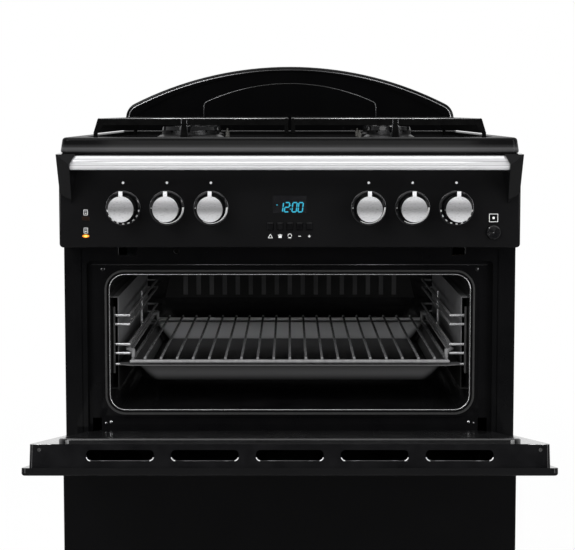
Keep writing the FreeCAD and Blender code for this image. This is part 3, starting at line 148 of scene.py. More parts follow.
def surface(name, low, high, rough, metallic=0.0, grain=60.0, bump=0.0, bump_scale=900.0,
            coat=0.0, stretch=None, specular=0.5):
    """A finish with drifting tone, drifting roughness and a fine surface."""
    mat = bpy.data.materials.new(name)
    mat.use_nodes = True
    tree = mat.node_tree
    shader = tree.nodes["Principled BSDF"]
    grains = noise(tree, grain, 4.0, stretch)
    tree.links.new(ramp(tree, grains.outputs["Fac"], low, high), shader.inputs["Base Color"])
    tree.links.new(spread(tree, grains.outputs["Fac"], rough[0], rough[1]),
                   shader.inputs["Roughness"])
    shader.inputs["Metallic"].default_value = metallic
    shader.inputs["Coat Weight"].default_value = coat
    shader.inputs["Coat Roughness"].default_value = 0.05
    shader.inputs["Specular IOR Level"].default_value = specular
    shader.inputs["IOR"].default_value = 1.5
    if bump:
        fine = noise(tree, bump_scale, 2.0, stretch)
        lift = node(tree, "ShaderNodeBump")
        lift.inputs["Strength"].default_value = bump
        lift.inputs["Distance"].default_value = 0.0004
        tree.links.new(fine.outputs["Fac"], lift.inputs["Height"])
        tree.links.new(lift.outputs["Normal"], shader.inputs["Normal"])
    return mat


def speckled(name, low, high, dot, rough):
    """Oven enamel: a dark ground with fine pale speckles."""
    mat = surface(name, low, high, rough, grain=25, bump=0.15, bump_scale=260)
    tree = mat.node_tree
    shader = tree.nodes["Principled BSDF"]
    ground = shader.inputs["Base Color"].links[0].from_socket
    dots = node(tree, "ShaderNodeTexVoronoi")
    dots.inputs["Scale"].default_value = 420
    coords = node(tree, "ShaderNodeTexCoord")
    tree.links.new(coords.outputs["Object"], dots.inputs["Vector"])
    mask = ramp(tree, dots.outputs["Distance"], (1, 1, 1), (0, 0, 0), 0.08, 0.16)
    mix = node(tree, "ShaderNodeMix", data_type="RGBA")
    mix.inputs["B"].default_value = (*dot, 1)
    tree.links.new(mask, mix.inputs["Factor"])
    tree.links.new(ground, mix.inputs["A"])
    tree.links.new(mix.outputs["Result"], shader.inputs["Base Color"])
    return mat


def glowing(name, colour, strength, ground):
    """A finish that gives off light of its own."""
    mat = surface(name, ground, tuple(c * 1.4 for c in ground), (0.2, 0.3), grain=80)
    shader = mat.node_tree.nodes["Principled BSDF"]
    shader.inputs["Emission Color"].default_value = (*colour, 1)
    shader.inputs["Emission Strength"].default_value = strength
    return mat


def masked(mat, other, low, high, axis):
    """Blends mat into a second finish between low and high, by the distance from 0 on one axis.

    The second finish is ((darker, lighter colour), (lowest, highest roughness), metallic).
    """
    tree = mat.node_tree
    coords = node(tree, "ShaderNodeTexCoord")
    split = node(tree, "ShaderNodeSeparateXYZ")
    size = node(tree, "ShaderNodeMath", operation="ABSOLUTE")
    tree.links.new(coords.outputs["Object"], split.inputs["Vector"])
    tree.links.new(split.outputs[axis], size.inputs[0])
    share = between(tree, size.outputs["Value"], low, high)
    first = tree.nodes["Principled BSDF"]
    second = node(tree, "ShaderNodeBsdfPrincipled")
    (dark, light), rough, metallic = other
    grains = noise(tree, 60, 3.0)
    tree.links.new(ramp(tree, grains.outputs["Fac"], dark, light), second.inputs["Base Color"])
    tree.links.new(spread(tree, grains.outputs["Fac"], rough[0], rough[1]),
                   second.inputs["Roughness"])
    second.inputs["Metallic"].default_value = metallic
    blend(tree, share, first.outputs["BSDF"], second.outputs["BSDF"], tree.nodes["Material Output"])
    return mat


def rack_finish():
    """Chromed rungs, with the uprights painted dark near the wall as painted shade."""
    mat = surface("rack_wire", (0.58, 0.58, 0.59), (0.72, 0.72, 0.73), (0.12, 0.2), metallic=0.7,
                  grain=120)
    # Painted shade: the uprights near the wall are painted near black.
    return masked(mat, (((0.02, 0.02, 0.02), (0.04, 0.04, 0.04)), (0.3, 0.4), 0.0),
                  *RACK_FADE, "X")


def levels(tree, shader, axis, stops, smooth=True):
    """Grey tones along one axis, from (place, level) stops. The first and last are its ends.

    Gives back the node that splits the place into X, Y and Z.
    """
    start, end = stops[0][0], stops[-1][0]
    coords = node(tree, "ShaderNodeTexCoord")
    split = node(tree, "ShaderNodeSeparateXYZ")
    band = node(tree, "ShaderNodeMapRange")
    band.inputs["From Min"].default_value = start
    band.inputs["From Max"].default_value = end
    tone = node(tree, "ShaderNodeValToRGB")
    made = tone.color_ramp
    made.interpolation = "EASE" if smooth else "LINEAR"
    for k, (place, level) in enumerate(stops):
        if k in (0, len(stops) - 1):
            stop = made.elements[0 if k == 0 else len(made.elements) - 1]
        else:
            stop = made.elements.new((place - start) / (end - start))
        stop.color = (level, level, level * 1.02, 1)
    tree.links.new(coords.outputs["Object"], split.inputs["Vector"])
    tree.links.new(split.outputs[axis], band.inputs["Value"])
    tree.links.new(band.outputs["Result"], tone.inputs["Fac"])
    tree.links.new(tone.outputs["Color"], shader.inputs["Base Color"])
    return split


def tray_finish():
    """Dark enamelled tray with painted light and shade: paler front wall, near black floor, bright
    rear wall.
    """
    mat = surface("tray_enamel_painted_light", (0.03, 0.03, 0.03), (0.05, 0.05, 0.05), (0.16, 0.26),
                  grain=24, bump=0.05, bump_scale=300, specular=0.05)
    tree = mat.node_tree
    # Painted light and shade along the tray: pale front wall, near black floor, bright rear wall.
    levels(tree, tree.nodes["Principled BSDF"], "Y",
           ((-0.14, 0.095), (-0.117, 0.080), (-0.110, 0.002), (0.193, 0.003), (0.204, 0.85),
            (0.23, 0.88)))
    return mat


def rail_finish():
    """Pale polished tube with painted reflection: bright and darker bands along it for what it
    mirrors.
    """
    mat = surface("rail_tube_painted_reflection", (0.6, 0.6, 0.6), (0.7, 0.7, 0.7), (0.08, 0.14),
                  metallic=0.3, grain=60, stretch=(0.1, 1, 1))
    # Painted reflection: bright bands with thin dark lines along the tube.
    levels(mat.node_tree, mat.node_tree.nodes["Principled BSDF"], "Z",
           ((RAIL_LOW, 0.84), (0.8653, 0.84), (0.8661, 0.38), (0.8669, 0.76), (0.8703, 0.56),
            (0.8711, 0.26), (0.8719, 0.50), (RAIL_HIGH, 0.36)), False)
    return mat


def knob_finish():
    """Black gloss plastic with a spun satin metal disc in front of KNOB_DISC; the disc's tone is a
    painted reflection.
    """
    mat = surface("knob_black_and_disc", (0.006, 0.006, 0.0065), (0.010, 0.010, 0.0105),
                  (0.12, 0.2), grain=120, coat=0.3)
    tree = mat.node_tree
    black = tree.nodes["Principled BSDF"]
    metal = node(tree, "ShaderNodeBsdfPrincipled")
    metal.inputs["Metallic"].default_value = 0.25
    z = KNOB_Z
    # Painted reflection on the disc: light at top and bottom, dark across the middle.
    split = levels(tree, metal, "Z",
                   ((z - 0.016, 0.62), (z - 0.010, 0.50), (z, 0.22), (z + 0.006, 0.30),
                    (z + 0.014, 0.60), (z + 0.020, 0.80)))
    spin = noise(tree, 300, 2.0, (1.0, 1.0, 6.0))
    tree.links.new(spread(tree, spin.outputs["Fac"], 0.22, 0.36), metal.inputs["Roughness"])
    less = node(tree, "ShaderNodeMath", operation="LESS_THAN")
    less.inputs[1].default_value = KNOB_DISC
    tree.links.new(split.outputs["Y"], less.inputs[0])
    blend(tree, less.outputs["Value"], black.outputs["BSDF"], metal.outputs["BSDF"],
          tree.nodes["Material Output"])
    return mat


def hob_finish():
    """Gloss enamel whose rolled front carries a painted reflection, a pale band near its lip; matt in
    the spill well.
    """
    mat = surface("hob_enamel_painted_reflection", (0.004, 0.004, 0.0042), (0.006, 0.006, 0.0064), (0.06, 0.1),
                  grain=18, bump=0.02, bump_scale=160, specular=0.05)
    tree = mat.node_tree
    shader = tree.nodes["Principled BSDF"]
    # Painted reflection: a pale band across the rolled front, near the lip.
    levels(tree, shader, "Z",
           ((HOB_LIP, 0.010), (0.8835, 0.048), (0.8860, 0.062), (0.8888, 0.018), (0.892, 0.005),
            (0.8985, 0.004), (HOB_TOP, 0.020)))
    facing = node(tree, "ShaderNodeNewGeometry")
    up = node(tree, "ShaderNodeSeparateXYZ")
    tree.links.new(facing.outputs["Normal"], up.inputs["Vector"])
    flat = between(tree, up.outputs["Z"], 0.97, 0.995, 0.0, 0.72, "LINEAR")
    matt = node(tree, "ShaderNodeBsdfDiffuse")
    matt.inputs["Color"].default_value = (0.006, 0.006, 0.0063, 1)
    blend(tree, flat, shader.outputs["BSDF"], matt.outputs["BSDF"], tree.nodes["Material Output"])
    return mat


ENAMEL = surface("black_gloss_enamel", (0.0054, 0.0054, 0.0057), (0.0062, 0.0062, 0.0065),
                 (0.060, 0.072), grain=18, bump=0.02, bump_scale=160, specular=0.12)
HOB = hob_finish()
FRAME_BLACK = surface("satin_black_frame", (0.0035, 0.0035, 0.0038), (0.0065, 0.0065, 0.007),
                      (0.06, 0.11), grain=40, bump=0.03, bump_scale=500, specular=0.14)
DARK_PLATE = surface("front_plate_enamel", (0.0030, 0.0030, 0.0033), (0.0040, 0.0040, 0.0043),
                     (0.07, 0.09), grain=30, bump=0.03, bump_scale=300, specular=0.12)
OVEN = speckled("speckled_oven_enamel", (0.004, 0.004, 0.0043), (0.008, 0.008, 0.0085),
                (0.035, 0.035, 0.038), (0.12, 0.2))
# Painted light: the side liners are painted pale towards their tops.
LINER = masked(speckled("side_liner_painted_light", (0.008, 0.008, 0.008), (0.014, 0.014, 0.014),
                        (0.04, 0.04, 0.04), (0.3, 0.42)),
               (((0.15, 0.15, 0.155), (0.22, 0.22, 0.225)), (0.3, 0.42), 0.0),
               *LINER_FADE, "Z")
# Painted shade: the baffle is painted darker behind its ribs.
BAFFLE = masked(surface("baffle_ribs_painted_shade", (0.07, 0.07, 0.072), (0.12, 0.12, 0.122), (0.25, 0.4),
                        grain=30),
                (((0.005, 0.005, 0.005), (0.010, 0.010, 0.010)), (0.25, 0.4), 0.0),
                *BAFFLE_FADE, "Y")
TRAY = tray_finish()
IRON = surface("enamelled_cast_iron", (0.0014, 0.0014, 0.0014), (0.003, 0.003, 0.003), (0.26, 0.38),
               grain=90, bump=0.12, bump_scale=700, specular=0.05)
# Painted light: the shelf's wires are painted pale towards the rear.
WIRE = masked(surface("chromed_wire_painted_light", (0.20, 0.20, 0.205), (0.28, 0.28, 0.285), (0.16, 0.26),
                      metallic=0.3, grain=120),
              (((0.88, 0.88, 0.89), (0.94, 0.94, 0.95)), (0.16, 0.26), 0.2), *SHELF_FADE, "Y")
RACK = rack_finish()
RAIL = rail_finish()
ZINC = surface("galvanised_sheet", (0.42, 0.43, 0.45), (0.56, 0.57, 0.59), (0.3, 0.5),
               metallic=1.0, grain=34)
ALUMINIUM = surface("cast_aluminium", (0.030, 0.030, 0.031), (0.055, 0.055, 0.056), (0.3, 0.45),
                    metallic=1.0, grain=90, bump=0.3, bump_scale=800)
BRASS = surface("machined_brass", (0.55, 0.40, 0.18), (0.68, 0.50, 0.24), (0.25, 0.4),
                metallic=1.0, grain=80)
STEEL = surface("aluminised_steel", (0.40, 0.40, 0.40), (0.52, 0.52, 0.52), (0.35, 0.5),
                metallic=1.0, grain=60)
PLASTIC = surface("matt_black_plastic", (0.012, 0.012, 0.012), (0.02, 0.02, 0.02), (0.4, 0.55),
                  grain=90, bump=0.25, bump_scale=1200)
GLOSS = surface("gloss_black_plastic", (0.004, 0.004, 0.0045), (0.008, 0.008, 0.0085),
                (0.06, 0.12), grain=70, coat=0.4)
KEY = surface("timer_key_plastic", (0.003, 0.003, 0.0033), (0.006, 0.006, 0.0064), (0.16, 0.24),
              grain=120, specular=0.1)
# Painted shade: a darker copy of the black gloss enamel, on the splashback and the lower door's panel.
SHADED_ENAMEL = surface("black_enamel_painted_shade", (0.0017, 0.0017, 0.0019), (0.0021, 0.0021, 0.0023),
               (0.060, 0.072), grain=18, bump=0.02, bump_scale=160, specular=0.12)
GLASS = surface("smoked_glass", (0.003, 0.003, 0.0035), (0.005, 0.005, 0.0055), (0.03, 0.06),
                grain=12, coat=0.6)
DISPLAY = surface("display_glass", (0.006, 0.006, 0.007), (0.011, 0.011, 0.012), (0.10, 0.16),
                  grain=90, coat=0.3)
AMBER = glowing("amber_lamp_glow", (0.9, 0.22, 0.01), 0.9, (0.35, 0.13, 0.02))
CORE = glowing("amber_lamp_core", (1.0, 0.62, 0.12), 1.6, (0.35, 0.16, 0.02))
LENS = surface("dark_lamp_lens", (0.008, 0.004, 0.002), (0.014, 0.007, 0.004), (0.12, 0.2),
               grain=120, coat=0.3)
CERAMIC = surface("glazed_ceramic", (0.07, 0.068, 0.062), (0.10, 0.098, 0.09), (0.2, 0.3), grain=140)
SEAL = surface("woven_heat_seal", (0.007, 0.007, 0.007), (0.016, 0.016, 0.016), (0.7, 0.85), grain=700,
               bump=0.6, bump_scale=1600)
PRINT = surface("white_print", (0.66, 0.66, 0.66), (0.76, 0.76, 0.76), (0.4, 0.5), grain=300)
SCREW = surface("plated_screw", (0.55, 0.55, 0.56), (0.70, 0.70, 0.71), (0.2, 0.3), metallic=1.0,
                grain=200)
CYAN = glowing("clock_digits", (0.03, 0.36, 0.52), 1.05, (0.01, 0.06, 0.08))
# Painted highlight: bright beads laid along edges where light catches them.
EDGE = surface("painted_edge_highlight", (0.42, 0.42, 0.425), (0.52, 0.52, 0.525), (0.16, 0.26),
               metallic=0.8, grain=60)
# Painted highlight: the splashback rim's bead, dark in the middle and bright towards the sides.
RIM = masked(surface("rim_bead_painted_highlight", (0.02, 0.02, 0.021), (0.03, 0.03, 0.031), (0.16, 0.26),
                     grain=60),
             (((0.42, 0.42, 0.43), (0.52, 0.52, 0.53)), (0.16, 0.26), 0.8), *RIM_FADE, "X")
# Painted highlight: the splashback arch's bead, fading in the same way.
ARCH_HIGHLIGHT = masked(surface("arch_bead_painted_highlight", (0.008, 0.008, 0.008), (0.014, 0.014, 0.014),
                         (0.16, 0.26), grain=60),
                 (((0.16, 0.16, 0.165), (0.24, 0.24, 0.245)), (0.16, 0.26), 0.8), *ARCH_FADE, "X")
# Painted highlight: the bright crescents at the ends of the doors' slots.
LIP = surface("slot_lip_highlight", (0.62, 0.62, 0.63), (0.75, 0.75, 0.76), (0.16, 0.24), metallic=0.3,
              grain=60)
# Painted highlight: dimmer beads laid along edges where light catches them.
DIM_HIGHLIGHT = surface("painted_dim_edge_highlight", (0.10, 0.10, 0.105), (0.15, 0.15, 0.155), (0.16, 0.26),
                   metallic=0.8, grain=60)
DARK_SCREW = surface("blackened_screw", (0.05, 0.05, 0.05), (0.09, 0.09, 0.09), (0.2, 0.3),
                     metallic=0.6, grain=200)
KNOB = knob_finish()

FINISH = {
    "hob_top": HOB, "splashback": SHADED_ENAMEL, "control_panel": ENAMEL, "plinth": ENAMEL,
    "oven_front_frame": DARK_PLATE, "side_panel_left": ENAMEL, "side_panel_right": ENAMEL,
    "rail_brackets": ENAMEL, "upper_door_outer_panel": ENAMEL, "lower_door_outer_panel": SHADED_ENAMEL,
    "upper_door_frame": FRAME_BLACK, "lower_door_frame": FRAME_BLACK, "upper_cavity": OVEN,
    "lower_cavity": OVEN, "upper_door_liner": OVEN, "lower_door_liner": OVEN,
    "side_liners": LINER, "roasting_tray": TRAY, "flue_baffle": BAFFLE, "burner_caps": FRAME_BLACK,
    "pan_support_left": IRON, "pan_support_right": IRON, "towel_rail": RAIL,
    "side_racks": RACK, "upper_shelf": WIRE, "lower_shelf": WIRE, "rear_panel": ZINC,
    "base_pan": ZINC, "door_hinge_arms": ZINC, "burner_heads": ALUMINIUM, "gas_taps": BRASS,
    "gas_manifold": BRASS, "oven_burners": STEEL, "levelling_feet": PLASTIC,
    "cable_entry": PLASTIC, "clock_module": PLASTIC, "knob_bezels": GLOSS, "light_button": GLOSS,
    "display_window": DISPLAY, "lower_door_glass": GLASS, "indicator_lamps": LENS,
    "spark_electrodes": CERAMIC, "door_seals": SEAL,
}


def finish_nodes():
    """Gives every CAD piece its finish, with flat faces as they were cut."""
    for name, obj in NODES.items():
        mat = FINISH.get(name)
        if name.startswith("knob_") and name != "knob_bezels":
            mat = KNOB
        elif name.startswith("tap_spindle"):
            mat = STEEL
        elif name.startswith("timer_button"):
            mat = KEY
        for place in obj.material_slots:
            place.material = mat
        for face in obj.data.polygons:
            face.use_smooth = False


# ---------------------------------------------------------------- shapes
def add_piece(name, bm, mat, body):
    """Makes a piece of a finished bmesh. It rides on a body and names a material slot."""
    bmesh.ops.recalc_face_normals(bm, faces=bm.faces)
    mesh = bpy.data.meshes.new(name)
    bm.to_mesh(mesh)
    bm.free()
    mesh.materials.append(mat)
    obj = bpy.data.objects.new(name, mesh)
    scene.collection.objects.link(obj)
    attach(obj, body)


def bridge(bm, one, two):
    """Four-sided faces between two rings with the same number of corners."""
    count = len(one)
    for k in range(count):
        after = (k + 1) % count
        bm.faces.new((one[k], one[after], two[after], two[k]))


def build(name, faces, mat, body):
    """Thin raised marks: each face is a list of (x, y, z) seen from the front."""
    bm = bmesh.new()
    for corners in faces:
        front = [bm.verts.new((x, y - MARK_HIGH, z)) for x, y, z in corners]
        back = [bm.verts.new((x, y + MARK_SUNK, z)) for x, y, z in corners]
        bm.faces.new(front)
        bm.faces.new(list(reversed(back)))
        for i in range(len(front)):
            j = (i + 1) % len(front)
            bm.faces.new((front[i], back[i], back[j], front[j]))
    add_piece(name, bm, mat, body)


def disc(x, z, r, y, count=20):
    """Points round a circle that faces the front."""
    return [(x + r * math.cos(2 * math.pi * k / count), y, z + r * math.sin(2 * math.pi * k / count))
            for k in range(count)]


def bar(x0, z0, x1, z1, wide, y):
    """The four corners of a straight stroke from (x0, z0) to (x1, z1)."""
    dx, dz = x1 - x0, z1 - z0
    far = math.hypot(dx, dz)
    ux, uz = -dz / far * wide / 2, dx / far * wide / 2
    return [(x0 + ux, y, z0 + uz), (x0 - ux, y, z0 - uz), (x1 - ux, y, z1 - uz),
            (x1 + ux, y, z1 + uz)]


def outline(x, z, half_wide, half_high, stroke, y):
    """Four strokes round a rectangle centred on (x, z)."""
    corners = [(x + a * half_wide, z + b * half_high)
               for a, b in ((-1, -1), (1, -1), (1, 1), (-1, 1))]
    return [bar(*corners[k], *corners[(k + 1) % 4], stroke, y) for k in range(4)]


def tube(name, points, r, mat, body, closed=False, count=8):
    """A thin bead along points, swept with a round section."""
    bm = bmesh.new()
    rings = []
    total = len(points)
    for i, p in enumerate(points):
        before = points[i - 1] if i or closed else p
        after = points[(i + 1) % total] if i + 1 < total or closed else p
        along = (Vector(after) - Vector(before)).normalized()
        side = along.cross(Vector((0, 1, 0)))
        if side.length < 0.1:
            side = along.cross(Vector((0, 0, 1)))
        side.normalize()
        up = along.cross(side)
        rings.append([bm.verts.new(Vector(p) + side * (r * math.cos(2 * math.pi * k / count))
                                   + up * (r * math.sin(2 * math.pi * k / count)))
                      for k in range(count)])
    for one, two in zip(rings, rings[1:]):
        bridge(bm, one, two)
    if closed:
        bridge(bm, rings[-1], rings[0])
    else:
        bm.faces.new(rings[0])
        bm.faces.new(rings[-1])
    for face in bm.faces:
        face.smooth = len(face.verts) == 4
    add_piece(name, bm, mat, body)


# ---------------------------------------------------------------- printed and lit marks
def bezel_y(r):
    """A knob bezel's front at a radius from the knob's axis. It falls back outwards."""
    front, fall, inner, wide = FACE - 0.0035, 0.00035, 0.0195, 0.0012
    share = min(max((r - inner) / wide, 0), 1)
    return front + fall * share


def ring_arc(x, start, end, inner, outer, steps, taper=False):
    """Quads along an arc round a knob; angles run anticlockwise from 3 o'clock, in degrees."""
    z, thinned = KNOB_Z, 0.75
    quads = []
    for k in range(steps):
        a = math.radians(start + (end - start) * k / steps)
        b = math.radians(start + (end - start) * (k + 1) / steps)
        wa = 1 - thinned * k / steps if taper else 1
        wb = 1 - thinned * (k + 1) / steps if taper else 1
        ra, rb = inner + (outer - inner) * wa, inner + (outer - inner) * wb
        quads.append([(x + inner * math.cos(a), bezel_y(inner), z + inner * math.sin(a)),
                      (x + ra * math.cos(a), bezel_y(ra), z + ra * math.sin(a)),
                      (x + rb * math.cos(b), bezel_y(rb), z + rb * math.sin(b)),
                      (x + inner * math.cos(b), bezel_y(inner), z + inner * math.sin(b))])
    return quads


def knob_marks():
    """Nine dashes round each oven knob, a wedge round each burner knob, a dot above each."""
    oven_knobs = (0, 5)
    first_dash, dash_turn, dash_half = -170, 20, 4
    dash_inner, dash_outer = 0.0197, 0.0211
    wedge_start, wedge_end, wedge_inner, wedge_outer = 2, -122, 0.0194, 0.0217
    off_dot_out, off_dot, top_dot = 0.0202, 0.0007, 0.0016
    faces = []
    for number, x in enumerate(KNOB_X):
        if number in oven_knobs:
            for k in range(9):
                middle = first_dash + dash_turn * k
                faces.extend(ring_arc(x, middle - dash_half, middle + dash_half, dash_inner,
                                      dash_outer, 2))
        else:
            faces.extend(ring_arc(x, wedge_start, wedge_end, wedge_inner, wedge_outer, 18, True))
            faces.append(disc(x - off_dot_out, KNOB_Z, off_dot, bezel_y(off_dot_out), 12))
        faces.append(disc(x, DOT_Z, top_dot, FACE))
    build("knob_scale_marks", faces, PRINT, "cooker_body")


def clock_digits():
    """12:00 in slanted seven-segment strokes behind the clock window."""
    y = FACE + 0.0003
    base, high, wide, stroke = 0.8045, 0.0120, 0.0056, 0.0015
    slant, trim = 0.12, 0.08
    digits = (("1", -0.0150), ("2", -0.0071), ("0", 0.0026), ("0", 0.0104))
    colon_x, colon_dot, flag_x, flag_up, flag_dot = 0.0003, 0.0007, -0.0164, 0.009, 0.0008
    shapes = {"1": "bc", "2": "abged", "0": "abcdef"}
    lines = {"a": ((0, 1), (1, 1)), "b": ((1, 1), (1, 0.5)), "c": ((1, 0.5), (1, 0)),
             "d": ((0, 0), (1, 0)), "e": ((0, 0.5), (0, 0)), "f": ((0, 1), (0, 0.5)),
             "g": ((0, 0.5), (1, 0.5))}
    faces = []
    for digit, x in digits:
        for segment in shapes[digit]:
            (u0, w0), (u1, w1) = lines[segment]
            du, dw = (u1 - u0), (w1 - w0)
            u0, u1 = u0 + du * trim, u1 - du * trim
            w0, w1 = w0 + dw * trim, w1 - dw * trim
            faces.append(bar(x + u0 * wide + w0 * high * slant, base + w0 * high,
                             x + u1 * wide + w1 * high * slant, base + w1 * high, stroke, y))
    for w in (0.3, 0.7):
        faces.append(disc(colon_x + w * high * slant, base + w * high, colon_dot, y, 10))
    faces.append(disc(flag_x, base + flag_up, flag_dot, y, 10))
    build("clock_figures", faces, CYAN, "cooker_body")


def oven_icon(x, z):
    """A small upright oven with two lines in it."""
    return outline(x, z, 0.0024, 0.0033, 0.0006, FACE) + [
        bar(x - 0.0013, z + 0.0018, x + 0.0013, z + 0.0018, 0.0005, FACE),
        bar(x - 0.0009, z - 0.0010, x + 0.0009, z - 0.0010, 0.0011, FACE)]


def light_icon(x, z):
    """A square with a dot, above the light button."""
    return outline(x, z, 0.0054, 0.0050, 0.0007, FACE) + [disc(x, z, 0.0017, FACE, 14)]


def cone_icon(x, z):
    """A triangle with a wide base."""
    left, top, right = (-0.0026, -0.0020), (0, 0.0026), (0.0026, -0.0020)
    base = ((0.0030, -0.0022), (-0.0030, -0.0022))
    return [bar(x + a[0], z + a[1], x + b[0], z + b[1], 0.0007, FACE)
            for a, b in ((left, top), (top, right), base)]


def pot_icon(x, z):
    """A pot with its lid and a round grip."""
    return [bar(x, z - 0.0022, x, z + 0.0006, 0.0040, FACE),
            bar(x - 0.0028, z + 0.0014, x + 0.0028, z + 0.0014, 0.0008, FACE),
            disc(x, z + 0.0023, 0.0006, FACE, 10)]


def bell_icon(x, z):
    """A round bell over a short foot."""
    steps, start, turn = 9, -35, 250
    half_wide, half_high, up = 0.0024, 0.0022, 0.0008
    faces = [bar(x - 0.0018, z - 0.0019, x + 0.0018, z - 0.0019, 0.0012, FACE)]
    for k in range(steps):
        a, b = (math.radians(start + turn * (k + n) / steps) for n in (0, 1))
        faces.append(bar(x + half_wide * math.cos(a), z + up + half_high * math.sin(a),
                         x + half_wide * math.cos(b), z + up + half_high * math.sin(b),
                         0.0007, FACE))
    return faces


def sign_icons(minus_x, plus_x, z):
    """A minus and a plus. The plus has two short strokes that leave its middle free."""
    half, stroke = 0.0017, 0.0008
    faces = [bar(x - half, z, x + half, z, stroke, FACE) for x in (minus_x, plus_x)]
    for low, high in ((-half, -0.0004), (0.0004, half)):
        faces.append(bar(plus_x, z + low, plus_x, z + high, stroke, FACE))
    return faces


def panel_icons():
    """The icons above the lamps and the light button, and those of the five timer keys."""
    faces = []
    for z in (0.8038, 0.7805):
        faces.extend(oven_icon(LAMP_X, z))
    faces.extend(light_icon(0.2618, 0.7968))
    row = 0.7732
    faces.extend(cone_icon(-0.0250, row))
    faces.extend(pot_icon(-0.0125, row))
    faces.extend(bell_icon(0.0, row))
    faces.extend(sign_icons(0.0125, 0.0250, row))
    build("panel_print", faces, PRINT, "cooker_body")


def lit_lamp():
    """The glowing middle of the lower lamp's lens, and a brighter core in it."""
    x, z, y = LAMP_X, 0.7734, FACE - 0.0006
    half_wide, half_high, core_share = 0.0044, 0.0020, 0.45
    glow = [(x + half_wide * math.cos(math.pi * k / 12), y,
             z + half_high * math.sin(math.pi * k / 12)) for k in range(24)]
    build("lit_lamp", [glow], AMBER, "cooker_body")
    core = [(a + (x - a) * core_share, y - MARK_HIGH, c + (z - c) * core_share)
            for a, b, c in glow]
    build("lit_lamp_core", [core], CORE, "cooker_body")


# ---------------------------------------------------------------- small fittings
def screw(bm, x, y, z, r, high):
    """A low domed head with its axis along -Y."""
    rings = [(r, 0.0), (r, high * 0.4), (r * 0.7, high * 0.85), (r * 0.3, high)]
    loops = [[bm.verts.new(p) for p in disc(x, z, radius, y - lift, 16)]
             for radius, lift in rings]
    for one, two in zip(loops, loops[1:]):
        bridge(bm, one, two)
    bm.faces.new(loops[-1])


def front_screws(name, spots, mat):
    """Screws on the recessed plate, left and right, from (x, z, radius, height) spots."""
    bm = bmesh.new()
    for x, z, r, high in spots:
        for side in (-1, 1):
            screw(bm, side * x, PLATE, z, r, high)
    add_piece(name, bm, mat, "cooker_body")


# ---------------------------------------------------------------- painted highlights: beads along edges
def rounded(half, low, high, r, y):
    """Points round a rectangle with rounded corners, centred on x = 0."""
    steps = 7
    points = []
    for cx, cz, start in ((half - r, high - r, 0), (-half + r, high - r, 90),
                          (-half + r, low + r, 180), (half - r, low + r, 270)):
        for k in range(steps):
            a = math.radians(start + 90 * k / (steps - 1))
            points.append((cx + r * math.cos(a), y, cz + r * math.sin(a)))
    return points


def arch_line(half, corner, top, y, round_by, inset):
    """Points inside an arch: up one leaning side, round the shoulder and over the top.

    The side leans from (half, SPLASH_FOOT) to the corner, where it meets the arc over the top.
    """
    cx, cz = corner
    radius = (cx * cx + (top - cz) ** 2) / (2 * (top - cz))
    centre = top - radius
    lean = Vector((cx - half, cz - SPLASH_FOOT)).normalized()
    inward = Vector((-lean.y, lean.x))
    start = Vector((half, SPLASH_FOOT - centre)) + inward * round_by
    b = start.dot(lean)
    reach = math.sqrt(b * b - start.length_squared + (radius - round_by) ** 2) - b
    hub = start + lean * reach
    turn_high = math.atan2(hub.y, hub.x)
    turn_low = math.atan2(-inward.y, -inward.x)
    r = round_by - inset
    foot = hub - inward * r
    share = (BEAD_FOOT - centre - foot.y) / lean.y
    side = [(foot.x + lean.x * share, BEAD_FOOT)]
    for k in range(8):
        a = turn_low + (turn_high - turn_low) * k / 7
        side.append((hub.x + r * math.cos(a), centre + hub.y + r * math.sin(a)))
    over = []
    edge = math.pi / 2 - turn_high
    for k in range(1, 40):
        a = edge * (1 - 2 * k / 40)
        over.append(((radius - inset) * math.sin(a), centre + (radius - inset) * math.cos(a)))
    points = side + over + [(-x, z) for x, z in reversed(side)]
    return [(x, y, z) for x, z in points]


def opening_highlights():
    """Painted highlight: a bright bead along the turned edge of each oven opening."""
    out = 0.0002
    for name, (low, high) in OPENINGS.items():
        points = rounded(OPENING_HALF + out, low - out, high + out, OPENING_CORNER + out,
                         PLATE - 0.0019)
        tube(name + "_opening_highlight", points, 0.0007, EDGE, "cooker_body", True)


def splashback_highlights():
    """Painted highlights: beads along the splashback's rim and its embossed inner arch."""
    rim = arch_line(0.2885, (0.2810, 0.9408), 1.0107, SPLASH_FACE, 0.027, 0.0056)
    tube("splashback_rim_highlight", rim, 0.0008, RIM, "cooker_body")
    arch = arch_line(0.1500, (0.1490, 0.9484), 0.9819, SPLASH_FACE + 0.0008, 0.010, 0.0004)
    tube("splashback_arch_highlight", arch, 0.0007, ARCH_HIGHLIGHT, "cooker_body")


def support_highlights():
    """Painted highlights: beads along the pan supports' front legs and front bars."""
    leg_x, bar_out, bar_in, bar_y, bar_z = 0.140, 0.2520, 0.0060, FRONT + 0.0141, 0.9238
    leg = ((0.0035, 0.0144, 0.9232), (0.0036, 0.0146, 0.9150), (0.0056, 0.0149, 0.8948))
    bodies = {-1: "grid_left", 1: "grid_right"}
    for side in (-1, 1):
        for edge in (-1, 1):
            points = [(side * leg_x + edge * out, FRONT + back, z) for out, back, z in leg]
            tube("leg_highlight_%s%s" % ("lr"[side > 0], "ab"[edge > 0]), points, 0.0006, DIM_HIGHLIGHT,
                 bodies[side])
    for side in (-1, 1):
        points = [(side * bar_out, bar_y, bar_z), (side * bar_in, bar_y, bar_z)]
        tube("support_highlight_" + "lr"[side > 0], points, 0.0005, EDGE, bodies[side])


def plate_highlights():
    """Painted highlights: two lines along folds across the front plate, between the control panel and
    the upper oven.
    """
    bright_y, bright_z, soft_x, soft_z = PLATE - 0.0002, 0.7525, 0.264, 0.7300
    tube("plate_fold_highlight", [(-0.044, bright_y, bright_z), (0.2035, bright_y, bright_z)],
         0.0007, EDGE, "cooker_body")
    tube("plate_fold_dim_highlight", [(-soft_x, PLATE, soft_z), (soft_x, PLATE, soft_z)], 0.0005,
         DIM_HIGHLIGHT, "cooker_body")


